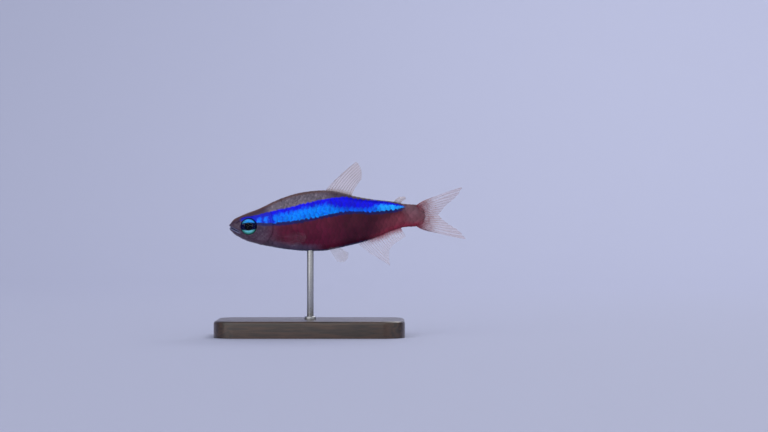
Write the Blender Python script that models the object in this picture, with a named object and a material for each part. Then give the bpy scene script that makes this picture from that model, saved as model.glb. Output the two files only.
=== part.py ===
"""Life-size cardinal tetra on a plain display stand, in metres, +Z up.

The fish is modelled in a frame of its own: a runs from the snout tip to the tail, b across
the body and c up. Outlines are shares of the standard length, snout tip to tail root.
An empty called fish_pose then tilts the fish head-down and sets it on the stand's rod.
The head points along -X and the fish's left side faces -Y. The origin is the centre of
the underside of the stand's base, straight below the rod.
"""

import math

import bmesh
import bpy
import numpy as np
from mathutils import Matrix, Vector

MM = 0.001
LENGTH = 34 * MM
GAP = 0.3 * MM
HEAD_DOWN = math.radians(3.3)

# Body outlines, as (share of length behind the snout, share of length above the axis)
BACK = (
    (0.0, 0.030), (0.04, 0.048), (0.09, 0.067), (0.15, 0.0855), (0.22, 0.1130), (0.28, 0.135),
    (0.34, 0.152), (0.42, 0.164), (0.49, 0.1665), (0.55, 0.160), (0.61, 0.145), (0.68, 0.123),
    (0.78, 0.1005), (0.87, 0.0855), (0.94, 0.068), (1.0, 0.0625),
)
BELLY = (
    (0.0, -0.030), (0.03, -0.047), (0.08, -0.077), (0.14, -0.098), (0.22, -0.119), (0.32, -0.140),
    (0.42, -0.1515), (0.49, -0.1545), (0.58, -0.143), (0.70, -0.121), (0.79, -0.0945), (0.86, -0.069),
    (0.94, -0.054), (1.0, -0.056),
)
HALF_WIDTH = (
    (0.0, 0.030), (0.05, 0.049), (0.10, 0.0615), (0.17, 0.0715), (0.25, 0.0765), (0.36, 0.0765),
    (0.50, 0.067), (0.64, 0.052), (0.80, 0.034), (0.92, 0.021), (1.0, 0.013),
)
NOSE_ROUNDING = 0.034
SECTION_POWER = 2.2
RING_POINTS = 36
TAIL_ROOT_ROUNDING = 0.012
TAIL_ROOT_SHARE = 0.86
HEAD_STATIONS = 33
HEAD_CROWDING = 1.35
TORSO_STATIONS = 22
STALK_STATIONS = 11
STALK_CROWDING = 1.3
SHARP_EDGE = math.radians(40)

# Gill cover: its free edge parts the head from the torso
GILL_EDGE = 0.234
GILL_EDGE_RISE = 0.030
GILL_EDGE_THROAT = 0.072
GILL_COVER_FRONT = 0.70
GILL_COVER_LIFT = 0.22 * MM
TAIL_CUT = 0.80

# Mouth, as points in the fish's side view
MOUTH_TIP = (-0.010, 0.006)
MOUTH_CORNER = (0.052, -0.030)
MOUTH_SLIT = 0.22 * MM
LIP_REACH = 0.32 * MM
LIP_SWELL = 0.07
LIP_FADE = 0.6
CUTTER_WIDTH = 0.2
CUTTER_ROUNDING = 0.45 * MOUTH_SLIT
NOSTRIL = (0.047, 0.024)
NOSTRIL_SHARE_OF_WIDTH = 0.80
NOSTRIL_RADIUS = 0.20 * MM
NOSTRIL_SIDES = 10

EYE_CENTRE = (0.1055, -0.003)
EYE_RADIUS = 1.51 * MM
EYE_DEPTH = 0.85 * MM
EYE_STAND_OUT = 0.16 * MM
EYE_TURNED_FORWARD = math.radians(9)
EYE_SIDES = 22
SOCKET_SIDES = 24

# Fins: sheet thickness at the root and the tip, the membrane's share of a ray's thickness,
# and how far out along the fin the rays have risen out of the fleshy root
FIN_ROOT_THICKNESS = 0.72 * MM
FIN_TIP_THICKNESS = 0.40 * MM
MEMBRANE_SHARE = 0.72
MEMBRANE_NOTCH = 0.02
RAYS_RISEN_AT = 0.33
FIN_STEPS = 6

# Unpaired fins: where the root starts and ends, then ray tips from the first ray to the
# last as (share of the rays, share of length behind the snout, share above the axis)
DORSAL_ROOT = (0.512, 0.650)
DORSAL_TIPS = (
    (0.0, 0.609, 0.240), (0.2, 0.690, 0.305), (0.4, 0.707, 0.285), (0.7, 0.716, 0.250),
    (1.0, 0.713, 0.213),
)
DORSAL_RAYS = 11
DORSAL_BOW = 0.05
ANAL_ROOT = (0.667, 0.903)
ANAL_TIPS = (
    (0.0, 0.750, -0.190), (0.17, 0.838, -0.254), (0.3, 0.835, -0.215), (0.45, 0.838, -0.176),
    (0.65, 0.865, -0.142), (0.85, 0.905, -0.118), (1.0, 0.930, -0.103),
)
ANAL_RAYS = 19
ANAL_BOW = -0.04
CAUDAL_UPPER_TIPS = (
    (0.0, 1.080, 0.093), (0.14, 1.245, 0.140), (0.35, 1.215, 0.098), (0.65, 1.150, 0.046),
    (1.0, 1.108, 0.0045),
)
CAUDAL_LOWER_TIPS = (
    (0.0, 1.080, -0.090), (0.14, 1.248, -0.136), (0.35, 1.217, -0.095), (0.65, 1.150, -0.044),
    (1.0, 1.108, -0.0045),
)
CAUDAL_RAYS = 10
CAUDAL_BOW = 0.035
CAUDAL_SWAY = 0.9 * MM
CAUDAL_ROOT_SHARE = 0.92
ADIPOSE_ROOT = (0.872, 0.906)
ADIPOSE_TIPS = ((0.0, 0.908, 0.107), (0.5, 0.937, 0.107), (1.0, 0.942, 0.094))
ADIPOSE_RAYS = 4
ADIPOSE_BOW = 0.10

# Paired fins on the right side: (share of length, degrees from the back) of the middle of
# the root, its length and direction, the first, longest and last ray, and how the rays lie.
# Directions are (behind, outwards, up).
LONGEST_RAY_AT = 0.25
PAIRED_BEND = 0.30 * MM
NEARBY_LENGTH = 0.01
NEARBY_TURN = 0.05
PECTORAL = {
    "place": (0.252, 126), "root_length": 1.3 * MM, "root_way": (0.25, 0.10, -1.0),
    "rays": 11, "lengths": (4.4 * MM, 5.8 * MM, 2.8 * MM), "ray_way": (0.93, 0.40, -0.13),
    "half_fan": math.radians(13),
}
PELVIC = {
    "place": (0.540, 157), "root_length": 1.5 * MM, "root_way": (0.93, -0.35, 0.08),
    "rays": 8, "lengths": (3.3 * MM, 3.8 * MM, 2.4 * MM), "ray_way": (0.70, 0.38, -0.60),
    "half_fan": math.radians(18),
}

# Stand
ROD_PLACE = 0.42
ROD_RADIUS = 0.6 * MM
ROD_HEIGHT = 12 * MM
ROD_SIDES = 20
BASE_SIZE = (34 * MM, 18 * MM, 3 * MM)
BASE_CORNER = 4 * MM
BASE_EDGE = 0.5 * MM
BASE_CORNER_STEPS = 6
BASE_EDGE_STEPS = 2

COLOURS = {
    "skin": ((0.20, 0.045, 0.075), 0.35, 0.0),
    "eye": ((0.02, 0.10, 0.14), 0.12, 0.0),
    "fin": ((0.62, 0.56, 0.55), 0.3, 0.0),
    "rod": ((0.55, 0.55, 0.56), 0.3, 1.0),
    "base": ((0.05, 0.05, 0.055), 0.35, 0.0),
}


def clear_scene():
    """Removes every object that the file opened with."""
    for old in list(bpy.data.objects):
        bpy.data.objects.remove(old)


def make_materials():
    """One Principled material for each finish in COLOURS."""
    made = {}
    for name, (colour, roughness, metallic) in COLOURS.items():
        material = bpy.data.materials.new(name)
        material.use_nodes = True
        shader = material.node_tree.nodes["Principled BSDF"]
        shader.inputs["Base Color"].default_value = (*colour, 1)
        shader.inputs["Roughness"].default_value = roughness
        shader.inputs["Metallic"].default_value = metallic
        made[name] = material
    return made


def smooth_through(points):
    """A function through the points that doesn't overshoot between them."""
    xs, ys = np.array(points, float).T
    steps = np.diff(xs)
    slopes = np.diff(ys) / steps
    tangents = np.concatenate([slopes[:1], np.zeros(len(xs) - 2), slopes[-1:]])
    for i in range(1, len(xs) - 1):
        before, after = slopes[i - 1], slopes[i]
        if before * after > 0:
            near, far = 2 * steps[i] + steps[i - 1], steps[i] + 2 * steps[i - 1]
            tangents[i] = (near + far) / (near / before + far / after)

    def value(x):
        x = min(max(x, xs[0]), xs[-1])
        i = min(int(np.searchsorted(xs, x, side="right")) - 1, len(steps) - 1)
        s = (x - xs[i]) / steps[i]
        return float(
            ys[i] * (1 + 2 * s) * (1 - s) ** 2
            + ys[i + 1] * s * s * (3 - 2 * s)
            + steps[i] * (tangents[i] * s * (1 - s) ** 2 - tangents[i + 1] * s * s * (1 - s))
        )

    return value


def smooth_step(x):
    """Rises from 0 to 1 with level ends."""
    x = min(max(x, 0.0), 1.0)
    return x * x * (3 - 2 * x)


back_at = smooth_through(BACK)
belly_at = smooth_through(BELLY)
width_at = smooth_through(HALF_WIDTH)


def blunting(t):
    """Rounds the snout, and the fleshy end of the tail stalk a little."""
    nose = math.sqrt(1 - (1 - t / NOSE_ROUNDING) ** 2) if t < NOSE_ROUNDING else 1.0
    left = (1.0 - t) / TAIL_ROOT_ROUNDING
    rounding = math.sqrt(max(0.0, 1 - (1 - left) ** 2)) if left < 1 else 1.0
    return nose * (TAIL_ROOT_SHARE + (1 - TAIL_ROOT_SHARE) * rounding)


def signed_power(x, power):
    """A power of a number's size, with its sign kept."""
    return math.copysign(abs(x) ** power, x)


def lip_swelling(t, height):
    """How much fuller the snout is beside the mouth line."""
    (t0, h0), (t1, h1) = MOUTH_TIP, MOUTH_CORNER
    along = ((t - t0) * (t1 - t0) + (height - h0) * (h1 - h0)) / ((t1 - t0) ** 2 + (h1 - h0) ** 2)
    along = min(max(along, 0.0), 1.0)
    away = math.hypot(t - t0 - along * (t1 - t0), height - h0 - along * (h1 - h0)) * LENGTH
    return LIP_SWELL * math.exp(-((away / LIP_REACH) ** 2)) * (1 - LIP_FADE * along)


def body_point(t, turn, lift=0.0):
    """The point of the body at a share of its length and an angle from the back, in metres.

    lift moves the point outwards across the body, as the gill cover stands out.
    """
    size = blunting(t)
    top, bottom = back_at(t) * size, belly_at(t) * size
    middle, half = (top + bottom) / 2, (top - bottom) / 2
    up = signed_power(math.cos(turn), 2 / SECTION_POWER)
    side = signed_power(math.sin(turn), 2 / SECTION_POWER)
    swell = 1 + lip_swelling(t, middle + half * up) if t < 2 * MOUTH_CORNER[0] else 1.0
    across = width_at(t) * size * side * swell * LENGTH + lift * side
    return Vector((t * LENGTH, across, (middle + half * up * swell) * LENGTH))


def gill_edge(turn):
    """Where the gill cover ends, at an angle from the back: rounded, and far forward at the throat."""
    up = math.cos(turn)
    return GILL_EDGE - (GILL_EDGE_RISE if up > 0 else GILL_EDGE_THROAT) * up * up


def ring_turns():
    """The angles from the back at which every ring has its points."""
    return [2 * math.pi * k / RING_POINTS for k in range(RING_POINTS)]


def closed_body(rings, front_cap, back_cap):
    """A mesh of rings of points, closed by a fan at each end."""
    made = bmesh.new()
    rows = [[made.verts.new(p) for p in ring] for ring in rings]
    for row, after in zip(rows, rows[1:]):
        for k, vert in enumerate(row):
            nxt = (k + 1) % len(row)
            made.faces.new((vert, after[k], after[nxt], row[nxt]))
    for row, cap, first in ((rows[0], front_cap, True), (rows[-1], back_cap, False)):
        centre = made.verts.new(cap)
        for k, vert in enumerate(row):
            pair = (vert, row[(k + 1) % len(row)])
            made.faces.new((*pair, centre) if first else (*pair[::-1], centre))
    bmesh.ops.recalc_face_normals(made, faces=made.faces)
    return made


def add_object(name, mesh_or_bmesh, material, parent=None):
    """Puts a mesh in the scene as one named, smooth-shaded object."""
    mesh = mesh_or_bmesh
    if isinstance(mesh, bmesh.types.BMesh):
        mesh = bpy.data.meshes.new(name)
        mesh_or_bmesh.to_mesh(mesh)
        mesh_or_bmesh.free()
    mesh.materials.append(material)
    mesh.shade_smooth()
    mesh.set_sharp_from_angle(angle=SHARP_EDGE)
    made = bpy.data.objects.new(name, mesh)
    bpy.context.scene.collection.objects.link(made)
    made.parent = parent
    return made


def cut(target, cutters):
    """Cuts the cutters out of the target with applied Booleans, and removes them."""
    for cutter in cutters:
        modifier = target.modifiers.new(cutter.name, "BOOLEAN")
        modifier.operation = "DIFFERENCE"
        modifier.object = cutter
        modifier.solver = "EXACT"
    bpy.context.view_layer.update()
    graph = bpy.context.evaluated_depsgraph_get()
    whole = bpy.data.meshes.new_from_object(target.evaluated_get(graph))
    target.modifiers.clear()
    target.data = whole
    for cutter in cutters:
        bpy.data.objects.remove(cutter)


def ball(name, centre, radii, turn, segments, material):
    """An ellipsoid at a place in the fish's frame, turned about the upright."""
    made = bmesh.new()
    bmesh.ops.create_uvsphere(made, u_segments=segments, v_segments=segments // 2, radius=1)
    bmesh.ops.rotate(made, verts=made.verts, matrix=Matrix.Rotation(math.pi / 2, 3, "X"))
    bmesh.ops.scale(made, vec=radii, verts=made.verts)
    bmesh.ops.rotate(made, verts=made.verts, matrix=Matrix.Rotation(turn, 3, "Z"))
    bmesh.ops.translate(made, vec=centre, verts=made.verts)
    return add_object(name, made, material)


def eye_place(side):
    """Centre of an eye; side is -1 for the fish's left, +1 for its right."""
    t, height = EYE_CENTRE
    outer = width_at(t) * LENGTH + EYE_STAND_OUT
    return Vector((t * LENGTH, side * (outer - EYE_DEPTH), height * LENGTH))


def mouth_cutter(material):
    """A thin slab through the snout along the mouth line, with a rounded inner end."""
    (t0, h0), (t1, h1) = MOUTH_TIP, MOUTH_CORNER
    length = math.hypot(t1 - t0, h1 - h0) * LENGTH
    made = bmesh.new()
    bmesh.ops.create_cube(made, size=1)
    bmesh.ops.scale(made, vec=(length, CUTTER_WIDTH * LENGTH, MOUTH_SLIT), verts=made.verts)
    across = [e for e in made.edges if abs(e.verts[0].co.y - e.verts[1].co.y) > MM]
    inner = [e for e in across if all(v.co.x > 0 for v in e.verts)]
    bmesh.ops.bevel(made, geom=inner, offset=CUTTER_ROUNDING, segments=2, profile=0.5, affect="EDGES")
    slope = Matrix.Rotation(-math.atan2(h1 - h0, t1 - t0), 3, "Y")
    bmesh.ops.rotate(made, verts=made.verts, matrix=slope)
    bmesh.ops.translate(made, vec=((t0 + t1) / 2 * LENGTH, 0, (h0 + h1) / 2 * LENGTH), verts=made.verts)
    return add_object("mouth_cutter", made, material)


def build_head(materials, pose):
    """Snout to gill covers, with the mouth slit, nostrils and eye sockets cut in."""
    rings = []
    for i in range(1, HEAD_STATIONS + 1):
        share = (i / HEAD_STATIONS) ** HEAD_CROWDING
        ring = []
        for turn in ring_turns():
            flare = smooth_step((share - GILL_COVER_FRONT) / (1 - GILL_COVER_FRONT))
            ring.append(body_point(share * gill_edge(turn), turn, GILL_COVER_LIFT * flare))
        rings.append(ring)
    middle = (GILL_EDGE - GILL_EDGE_RISE) * LENGTH
    whole = closed_body(rings, (0, 0, 0), (middle, 0, 0))
    head = add_object("head", whole, materials["skin"])
    cutters = [mouth_cutter(materials["skin"])]
    socket = (EYE_RADIUS + GAP, EYE_DEPTH + GAP, EYE_RADIUS + GAP)
    for side in (-1, 1):
        turn = side * EYE_TURNED_FORWARD
        centre = eye_place(side)
        cutters.append(ball("socket_cutter", centre, socket, turn, SOCKET_SIDES, materials["skin"]))
        t, height = NOSTRIL
        outwards = side * width_at(t) * NOSTRIL_SHARE_OF_WIDTH * LENGTH
        place = (t * LENGTH, outwards, height * LENGTH)
        pit = (NOSTRIL_RADIUS, 2 * NOSTRIL_RADIUS, NOSTRIL_RADIUS)
        cutters.append(ball("nostril_cutter", place, pit, 0, NOSTRIL_SIDES, materials["skin"]))
    cut(head, cutters)
    head.parent = pose


def build_trunk(materials, pose):
    """The torso behind the gill covers and the tail stalk behind the cut."""
    gap = GAP / LENGTH
    middle = (GILL_EDGE - GILL_EDGE_RISE) * LENGTH + GAP
    rings = []
    for i in range(TORSO_STATIONS + 1):
        share = i / TORSO_STATIONS
        ring = []
        for turn in ring_turns():
            start = gill_edge(turn) + gap
            ring.append(body_point(start + share * (TAIL_CUT - gap / 2 - start), turn))
        rings.append(ring)
    end = (TAIL_CUT - gap / 2) * LENGTH
    add_object("torso", closed_body(rings, (middle, 0, 0), (end, 0, 0)), materials["skin"], pose)

    start = TAIL_CUT + gap / 2
    rings = []
    for i in range(STALK_STATIONS + 1):
        t = start + (1 - (1 - i / STALK_STATIONS) ** STALK_CROWDING) * (1.0 - start)
        rings.append([body_point(t, turn) for turn in ring_turns()])
    stalk = closed_body(rings, (start * LENGTH, 0, 0), (LENGTH, 0, 0))
    add_object("tail_stalk", stalk, materials["skin"], pose)


def build_eyes(materials, pose):
    """Both eyeballs, each in its socket."""
    for side, name in ((-1, "eye_left"), (1, "eye_right")):
        radii = (EYE_RADIUS, EYE_DEPTH, EYE_RADIUS)
        eye = ball(name, (0, 0, 0), radii, 0, EYE_SIDES, materials["eye"])
        eye.location = eye_place(side)
        eye.rotation_euler = (0, 0, side * EYE_TURNED_FORWARD)
        eye.parent = pose


def fin_sheet(root, tips, rays, sway, bow=0.0):
    """A fin as one closed sheet with a raised ridge for each ray, and its columns of points.

    root and tips give a (a, c) point in metres for a share of the way from the first ray
    to the last, sway gives the sideways offset for shares along the fin and the ray, and
    bow is how far the middle of each ray stands forward of a straight line. A column runs
    from the root out to the tip, on one face of the sheet.
    """
    columns = 2 * rays - 1
    left, right = [], []
    for i in range(columns):
        u = i / (columns - 1)
        on_ray = i % 2 == 0
        (ra, rc), (ta, tc) = root(u), tips(u)
        reach = 1.0 if on_ray else 1.0 - MEMBRANE_NOTCH
        forward = Vector((-(tc - rc), ta - ra))
        left.append([])
        right.append([])
        for j in range(FIN_STEPS + 1):
            v = reach * j / FIN_STEPS
            bulge = bow * 4 * v * (1 - v)
            a = ra + (ta - ra) * v + forward.x * bulge
            c = rc + (tc - rc) * v + forward.y * bulge
            half = (FIN_ROOT_THICKNESS + (FIN_TIP_THICKNESS - FIN_ROOT_THICKNESS) * v) / 2
            risen = min(v / RAYS_RISEN_AT, 1.0)
            half *= 1.0 if on_ray else 1.0 - (1.0 - MEMBRANE_SHARE) * risen
            b = sway(u, v)
            left[-1].append((a, b - half, c))
            right[-1].append((a, b + half, c))
    made = bmesh.new()
    left = [[made.verts.new(p) for p in column] for column in left]
    right = [[made.verts.new(p) for p in column] for column in right]

    def quad(p, q, r, s):
        made.faces.new((p, q, r))
        made.faces.new((p, r, s))

    for i in range(columns - 1):
        for j in range(FIN_STEPS):
            quad(left[i][j], left[i + 1][j], left[i + 1][j + 1], left[i][j + 1])
            quad(right[i][j], right[i + 1][j], right[i + 1][j + 1], right[i][j + 1])
        for j in (0, FIN_STEPS):
            quad(left[i][j], left[i + 1][j], right[i + 1][j], right[i][j])
    for j in range(FIN_STEPS):
        for i in (0, columns - 1):
            quad(left[i][j], left[i][j + 1], right[i][j + 1], right[i][j])
    bmesh.ops.recalc_face_normals(made, faces=made.faces)
    return made, left + right


def start_on_plane(column, normal, height):
    """Spreads a column's points anew along its own line, from where that leaves a plane."""
    places = [vert.co.copy() for vert in column]
    above = [place.dot(normal) - height for place in places]
    first = next(j for j in range(1, len(above)) if above[j] > 0)
    start = first - 1 - above[first - 1] / (above[first] - above[first - 1])
    last = len(places) - 1
    for j, vert in enumerate(column):
        place = start + (last - start) * j / last
        before = min(max(math.floor(place), 0), last - 1)
        vert.co = places[before].lerp(places[before + 1], place - before)


def tip_curve(points):
    """A function from a share along the fin to a tip in metres, through (share, t, height)."""
    along = smooth_through([(u, t) for u, t, _ in points])
    up = smooth_through([(u, h) for u, _, h in points])
    return lambda u: (along(u) * LENGTH, up(u) * LENGTH)


def outline_root(span, outline, side):
    """A fin root along the back or belly, a gap away from it; side is +1 on the back."""

    def at(u):
        t = span[0] + (span[1] - span[0]) * u
        return (t * LENGTH, outline(t) * LENGTH + side * GAP)

    return at


def build_median_fins(materials, pose):
    """Dorsal, adipose and anal fins, and both lobes of the caudal fin."""
    fin = materials["fin"]
    for name, span, outline, side, tips, rays, bow in (
        ("dorsal_fin", DORSAL_ROOT, back_at, 1, DORSAL_TIPS, DORSAL_RAYS, DORSAL_BOW),
        ("adipose_fin", ADIPOSE_ROOT, back_at, 1, ADIPOSE_TIPS, ADIPOSE_RAYS, ADIPOSE_BOW),
        ("anal_fin", ANAL_ROOT, belly_at, -1, ANAL_TIPS, ANAL_RAYS, ANAL_BOW),
    ):
        root = outline_root(span, outline, side)
        sheet = fin_sheet(root, tip_curve(tips), rays, lambda u, v: 0.0, bow)[0]
        add_object(name, sheet, fin, pose)
    for name, tips, side, outline in (
        ("caudal_fin_upper", CAUDAL_UPPER_TIPS, 1, back_at),
        ("caudal_fin_lower", CAUDAL_LOWER_TIPS, -1, belly_at),
    ):
        outer, inner = outline(1.0) * CAUDAL_ROOT_SHARE * LENGTH, side * GAP / 2

        def root(u, outer=outer, inner=inner):
            return (LENGTH + GAP, outer + (inner - outer) * u)

        def sway(u, v):
            return CAUDAL_SWAY * v * v

        lobe = fin_sheet(root, tip_curve(tips), CAUDAL_RAYS, sway, CAUDAL_BOW * side)[0]
        add_object(name, lobe, fin, pose)


def paired_fin(name, shape, side, material, pose):
    """A fin on the flank, whose root is cut to lie along the body a gap away from it."""
    t, degrees = shape["place"]
    turn = math.radians(degrees)
    spot = body_point(t, turn)
    along_body = body_point(t + NEARBY_LENGTH, turn) - body_point(t - NEARBY_LENGTH, turn)
    round_body = body_point(t, turn + NEARBY_TURN) - body_point(t, turn - NEARBY_TURN)
    outward = round_body.cross(along_body).normalized()
    if outward.y < 0:
        outward.negate()
    out_way = Vector(shape["ray_way"]).normalized()
    root_way = Vector(shape["root_way"]).normalized()
    across = (root_way - out_way * root_way.dot(out_way)).normalized()
    lengths = shape["lengths"]
    fan = smooth_through(((0.0, lengths[0]), (LONGEST_RAY_AT, lengths[1]), (1.0, lengths[2])))

    def root(u):
        step = shape["root_length"] * (u - 0.5)
        return (step * root_way.dot(across), step * root_way.dot(out_way))

    def tips(u):
        angle = shape["half_fan"] * (2 * u - 1)
        x, y = root(u)
        return (x + fan(u) * math.sin(angle), y + fan(u) * math.cos(angle))

    normal = across.cross(out_way)
    bend = -PAIRED_BEND if normal.dot(outward) > 0 else PAIRED_BEND
    sheet, columns = fin_sheet(root, tips, shape["rays"], lambda u, v: bend * v * v)
    lie = Matrix((across, -normal, out_way)).transposed().to_4x4()
    bmesh.ops.transform(sheet, matrix=lie, verts=sheet.verts)
    for column in columns:
        start_on_plane(column, outward, GAP)
    if side < 0:
        bmesh.ops.scale(sheet, vec=(1, -1, 1), verts=sheet.verts)
    bmesh.ops.recalc_face_normals(sheet, faces=sheet.faces)
    made = add_object(name, sheet, material, pose)
    made.location = (spot.x, side * spot.y, spot.z)


def build_paired_fins(materials, pose):
    """Pectoral and pelvic fins on both sides."""
    for side, word in ((-1, "left"), (1, "right")):
        paired_fin(f"pectoral_fin_{word}", PECTORAL, side, materials["fin"], pose)
        paired_fin(f"pelvic_fin_{word}", PELVIC, side, materials["fin"], pose)


def build_stand(materials):
    """A flat base with rounded corners and one rod up to the belly."""
    height = BASE_SIZE[2]
    made = bmesh.new()
    bmesh.ops.create_cube(made, size=1)
    bmesh.ops.scale(made, vec=BASE_SIZE, verts=made.verts)
    bmesh.ops.translate(made, vec=(0, 0, height / 2), verts=made.verts)
    upright = [e for e in made.edges if abs(e.verts[0].co.z - e.verts[1].co.z) > height / 2]
    steps = BASE_CORNER_STEPS
    bmesh.ops.bevel(made, geom=upright, offset=BASE_CORNER, segments=steps, profile=0.5, affect="EDGES")
    rim = [e for e in made.edges if all(v.co.z > height / 2 for v in e.verts)]
    steps = BASE_EDGE_STEPS
    bmesh.ops.bevel(made, geom=rim, offset=BASE_EDGE, segments=steps, profile=0.5, affect="EDGES")
    add_object("stand_base", made, materials["base"])

    made = bmesh.new()
    depth = ROD_HEIGHT - GAP
    radii = {"radius1": ROD_RADIUS, "radius2": ROD_RADIUS}
    bmesh.ops.create_cone(made, cap_ends=True, segments=ROD_SIDES, depth=depth, **radii)
    rod = add_object("stand_rod", made, materials["rod"])
    rod.location = (0, 0, height + GAP + depth / 2)


def place_fish():
    """The empty that tilts the fish and sets its belly a gap above the rod."""
    pose = bpy.data.objects.new("fish_pose", None)
    bpy.context.scene.collection.objects.link(pose)
    belly = Vector((ROD_PLACE * LENGTH, 0, belly_at(ROD_PLACE) * LENGTH))
    tilt = Matrix.Rotation(-HEAD_DOWN, 3, "Y")
    on_rod = Vector((0, 0, BASE_SIZE[2] + ROD_HEIGHT + GAP))
    pose.location = on_rod - tilt @ belly
    pose.rotation_euler = (0, -HEAD_DOWN, 0)
    return pose


def main():
    """Builds every node in the empty scene."""
    clear_scene()
    materials = make_materials()
    pose = place_fish()
    build_head(materials, pose)
    build_trunk(materials, pose)
    build_eyes(materials, pose)
    build_median_fins(materials, pose)
    build_paired_fins(materials, pose)
    build_stand(materials)


main()
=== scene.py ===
"""Looks of the life-size cardinal tetra on its display stand.

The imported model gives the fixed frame. Each sub-assembly below is a class that holds its
sizes, builds its meshes and dresses them. The fish is shaped in a frame of its own, as
shares of its length from the snout to the tail root: t runs from the snout to the tail,
b across to its right side and h up. FishFrame turns that into world coordinates, from
the top of the stand's rod.
"""

import logging
import math
from contextlib import contextmanager
from dataclasses import dataclass, field
from enum import Enum
from typing import Callable, Iterator, Sequence, Union

import bmesh
import bpy
import numpy as np
from mathutils import Matrix, Vector


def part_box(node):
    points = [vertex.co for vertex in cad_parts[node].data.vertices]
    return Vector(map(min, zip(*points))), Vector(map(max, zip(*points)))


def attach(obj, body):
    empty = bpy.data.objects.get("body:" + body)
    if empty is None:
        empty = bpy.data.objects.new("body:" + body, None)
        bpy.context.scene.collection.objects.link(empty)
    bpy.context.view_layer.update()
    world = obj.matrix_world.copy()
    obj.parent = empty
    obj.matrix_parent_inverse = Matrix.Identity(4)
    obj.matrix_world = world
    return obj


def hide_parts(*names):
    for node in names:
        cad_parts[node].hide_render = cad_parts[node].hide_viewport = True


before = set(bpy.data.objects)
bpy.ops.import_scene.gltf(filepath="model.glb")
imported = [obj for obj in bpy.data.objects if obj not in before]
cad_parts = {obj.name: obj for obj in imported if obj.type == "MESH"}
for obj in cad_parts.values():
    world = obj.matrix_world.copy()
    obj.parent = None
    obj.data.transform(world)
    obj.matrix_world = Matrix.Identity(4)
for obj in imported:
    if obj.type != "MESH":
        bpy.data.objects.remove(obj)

log = logging.getLogger("cardinal_tetra")
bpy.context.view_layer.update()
MM = 0.001
GAP = 0.3 * MM
ROOT = "root"
HIGHEST = 0.2
Piece = bpy.types.Object
Material = bpy.types.Material
Points = Sequence[tuple[float, ...]]
# A ramp is two readings, and the two strengths there where they aren't 0 and 1.
Ramp = tuple[float, ...]
Source = Union["Value", str, float, Sequence[float]]


class Side(Enum):
    """The fish's two sides, as the sign of the way across."""

    LEFT = -1
    RIGHT = 1

    @property
    def word(self) -> str:
        """The side's name in lower case."""
        return self.name.lower()


def deselect() -> None:
    """Leaves object mode with nothing selected."""
    if bpy.context.mode != "OBJECT":
        bpy.ops.object.mode_set(mode="OBJECT")
    bpy.ops.object.select_all(action="DESELECT")


def activate(piece: Piece) -> None:
    """Makes one piece the only selected one, and the active one.

    Args:
        piece: The piece.
    """
    deselect()
    piece.select_set(True)
    bpy.context.view_layer.objects.active = piece


def added(name: str, primitive: Callable[..., set[str]], **settings: object) -> Piece:
    """Adds a primitive with nothing else selected.

    Args:
        name: The new piece's name.
        primitive: Blender's operator that adds it.
        settings: The operator's own settings.

    Returns:
        The new piece.
    """
    deselect()
    primitive(**settings)
    piece = bpy.context.active_object
    piece.name = name
    return piece


def linked(name: str, data: bpy.types.ID) -> Piece:
    """Puts data into the scene.

    Args:
        name: The new object's name.
        data: Its mesh, light or camera.

    Returns:
        The new object.
    """
    made = bpy.data.objects.new(name, data)
    bpy.context.scene.collection.objects.link(made)
    return made


@contextmanager
def editing(piece: Piece) -> Iterator[None]:
    """Holds a piece in edit mode, with all of it selected at first.

    Args:
        piece: The piece.
    """
    activate(piece)
    bpy.ops.object.mode_set(mode="EDIT")
    bpy.ops.mesh.select_all(action="SELECT")
    yield
    bpy.ops.object.mode_set(mode="OBJECT")


def apply_modifier(piece: Piece, kind: str, **settings: object) -> None:
    """Adds a modifier to a piece and applies it.

    Args:
        piece: The piece to change.
        kind: Blender's name for the modifier's type.
        settings: Values for the modifier's own properties.
    """
    activate(piece)
    modifier = piece.modifiers.new(kind.title(), kind)
    for name, value in settings.items():
        setattr(modifier, name, value)
    bpy.ops.object.modifier_apply(modifier=modifier.name)


def read_rows(items: Sequence, key: str) -> np.ndarray:
    """Reads a vector from each of many items.

    Args:
        items: The items, such as a mesh's vertices.
        key: The vector's name.

    Returns:
        Rows of x, y and z.
    """
    found = np.empty(len(items) * 3, np.float32)
    items.foreach_get(key, found)
    return found.reshape(-1, 3).astype(float)


def write_values(items: Sequence, key: str, values: np.ndarray) -> None:
    """Gives each of many items a number or a vector."""
    items.foreach_set(key, np.ascontiguousarray(values, np.float32).ravel())


def coordinates(piece: Piece) -> np.ndarray:
    """The piece's vertices as rows of x, y and z."""
    return read_rows(piece.data.vertices, "co")


def move_vertices(piece: Piece, places: np.ndarray) -> None:
    """Gives each vertex of a piece a new place."""
    write_values(piece.data.vertices, "co", places)
    piece.data.update()


def face_outwards(piece: Piece) -> None:
    """Turns all of a closed piece's faces outwards."""
    with editing(piece):
        bpy.ops.mesh.normals_make_consistent(inside=False)


def store(piece: Piece, name: str, values: np.ndarray) -> None:
    """Keeps one number, or three, with each vertex for a material to read.

    Args:
        piece: The piece.
        name: The attribute's name.
        values: One number for each vertex, or rows of three.
    """
    kind, key = ("FLOAT", "value") if values.ndim == 1 else ("FLOAT_VECTOR", "vector")
    attribute = piece.data.attributes.new(name, kind, "POINT")
    write_values(attribute.data, key, values)


def smooth(piece: Piece, degrees: float = 180.0) -> None:
    """Shades a piece smooth, with edges sharper than an angle left sharp.

    Args:
        piece: The piece.
        degrees: The angle. At 180 no edge is left sharp.
    """
    activate(piece)
    if degrees >= 180:
        bpy.ops.object.shade_smooth()
    else:
        bpy.ops.object.shade_smooth_by_angle(angle=math.radians(degrees))


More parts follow.
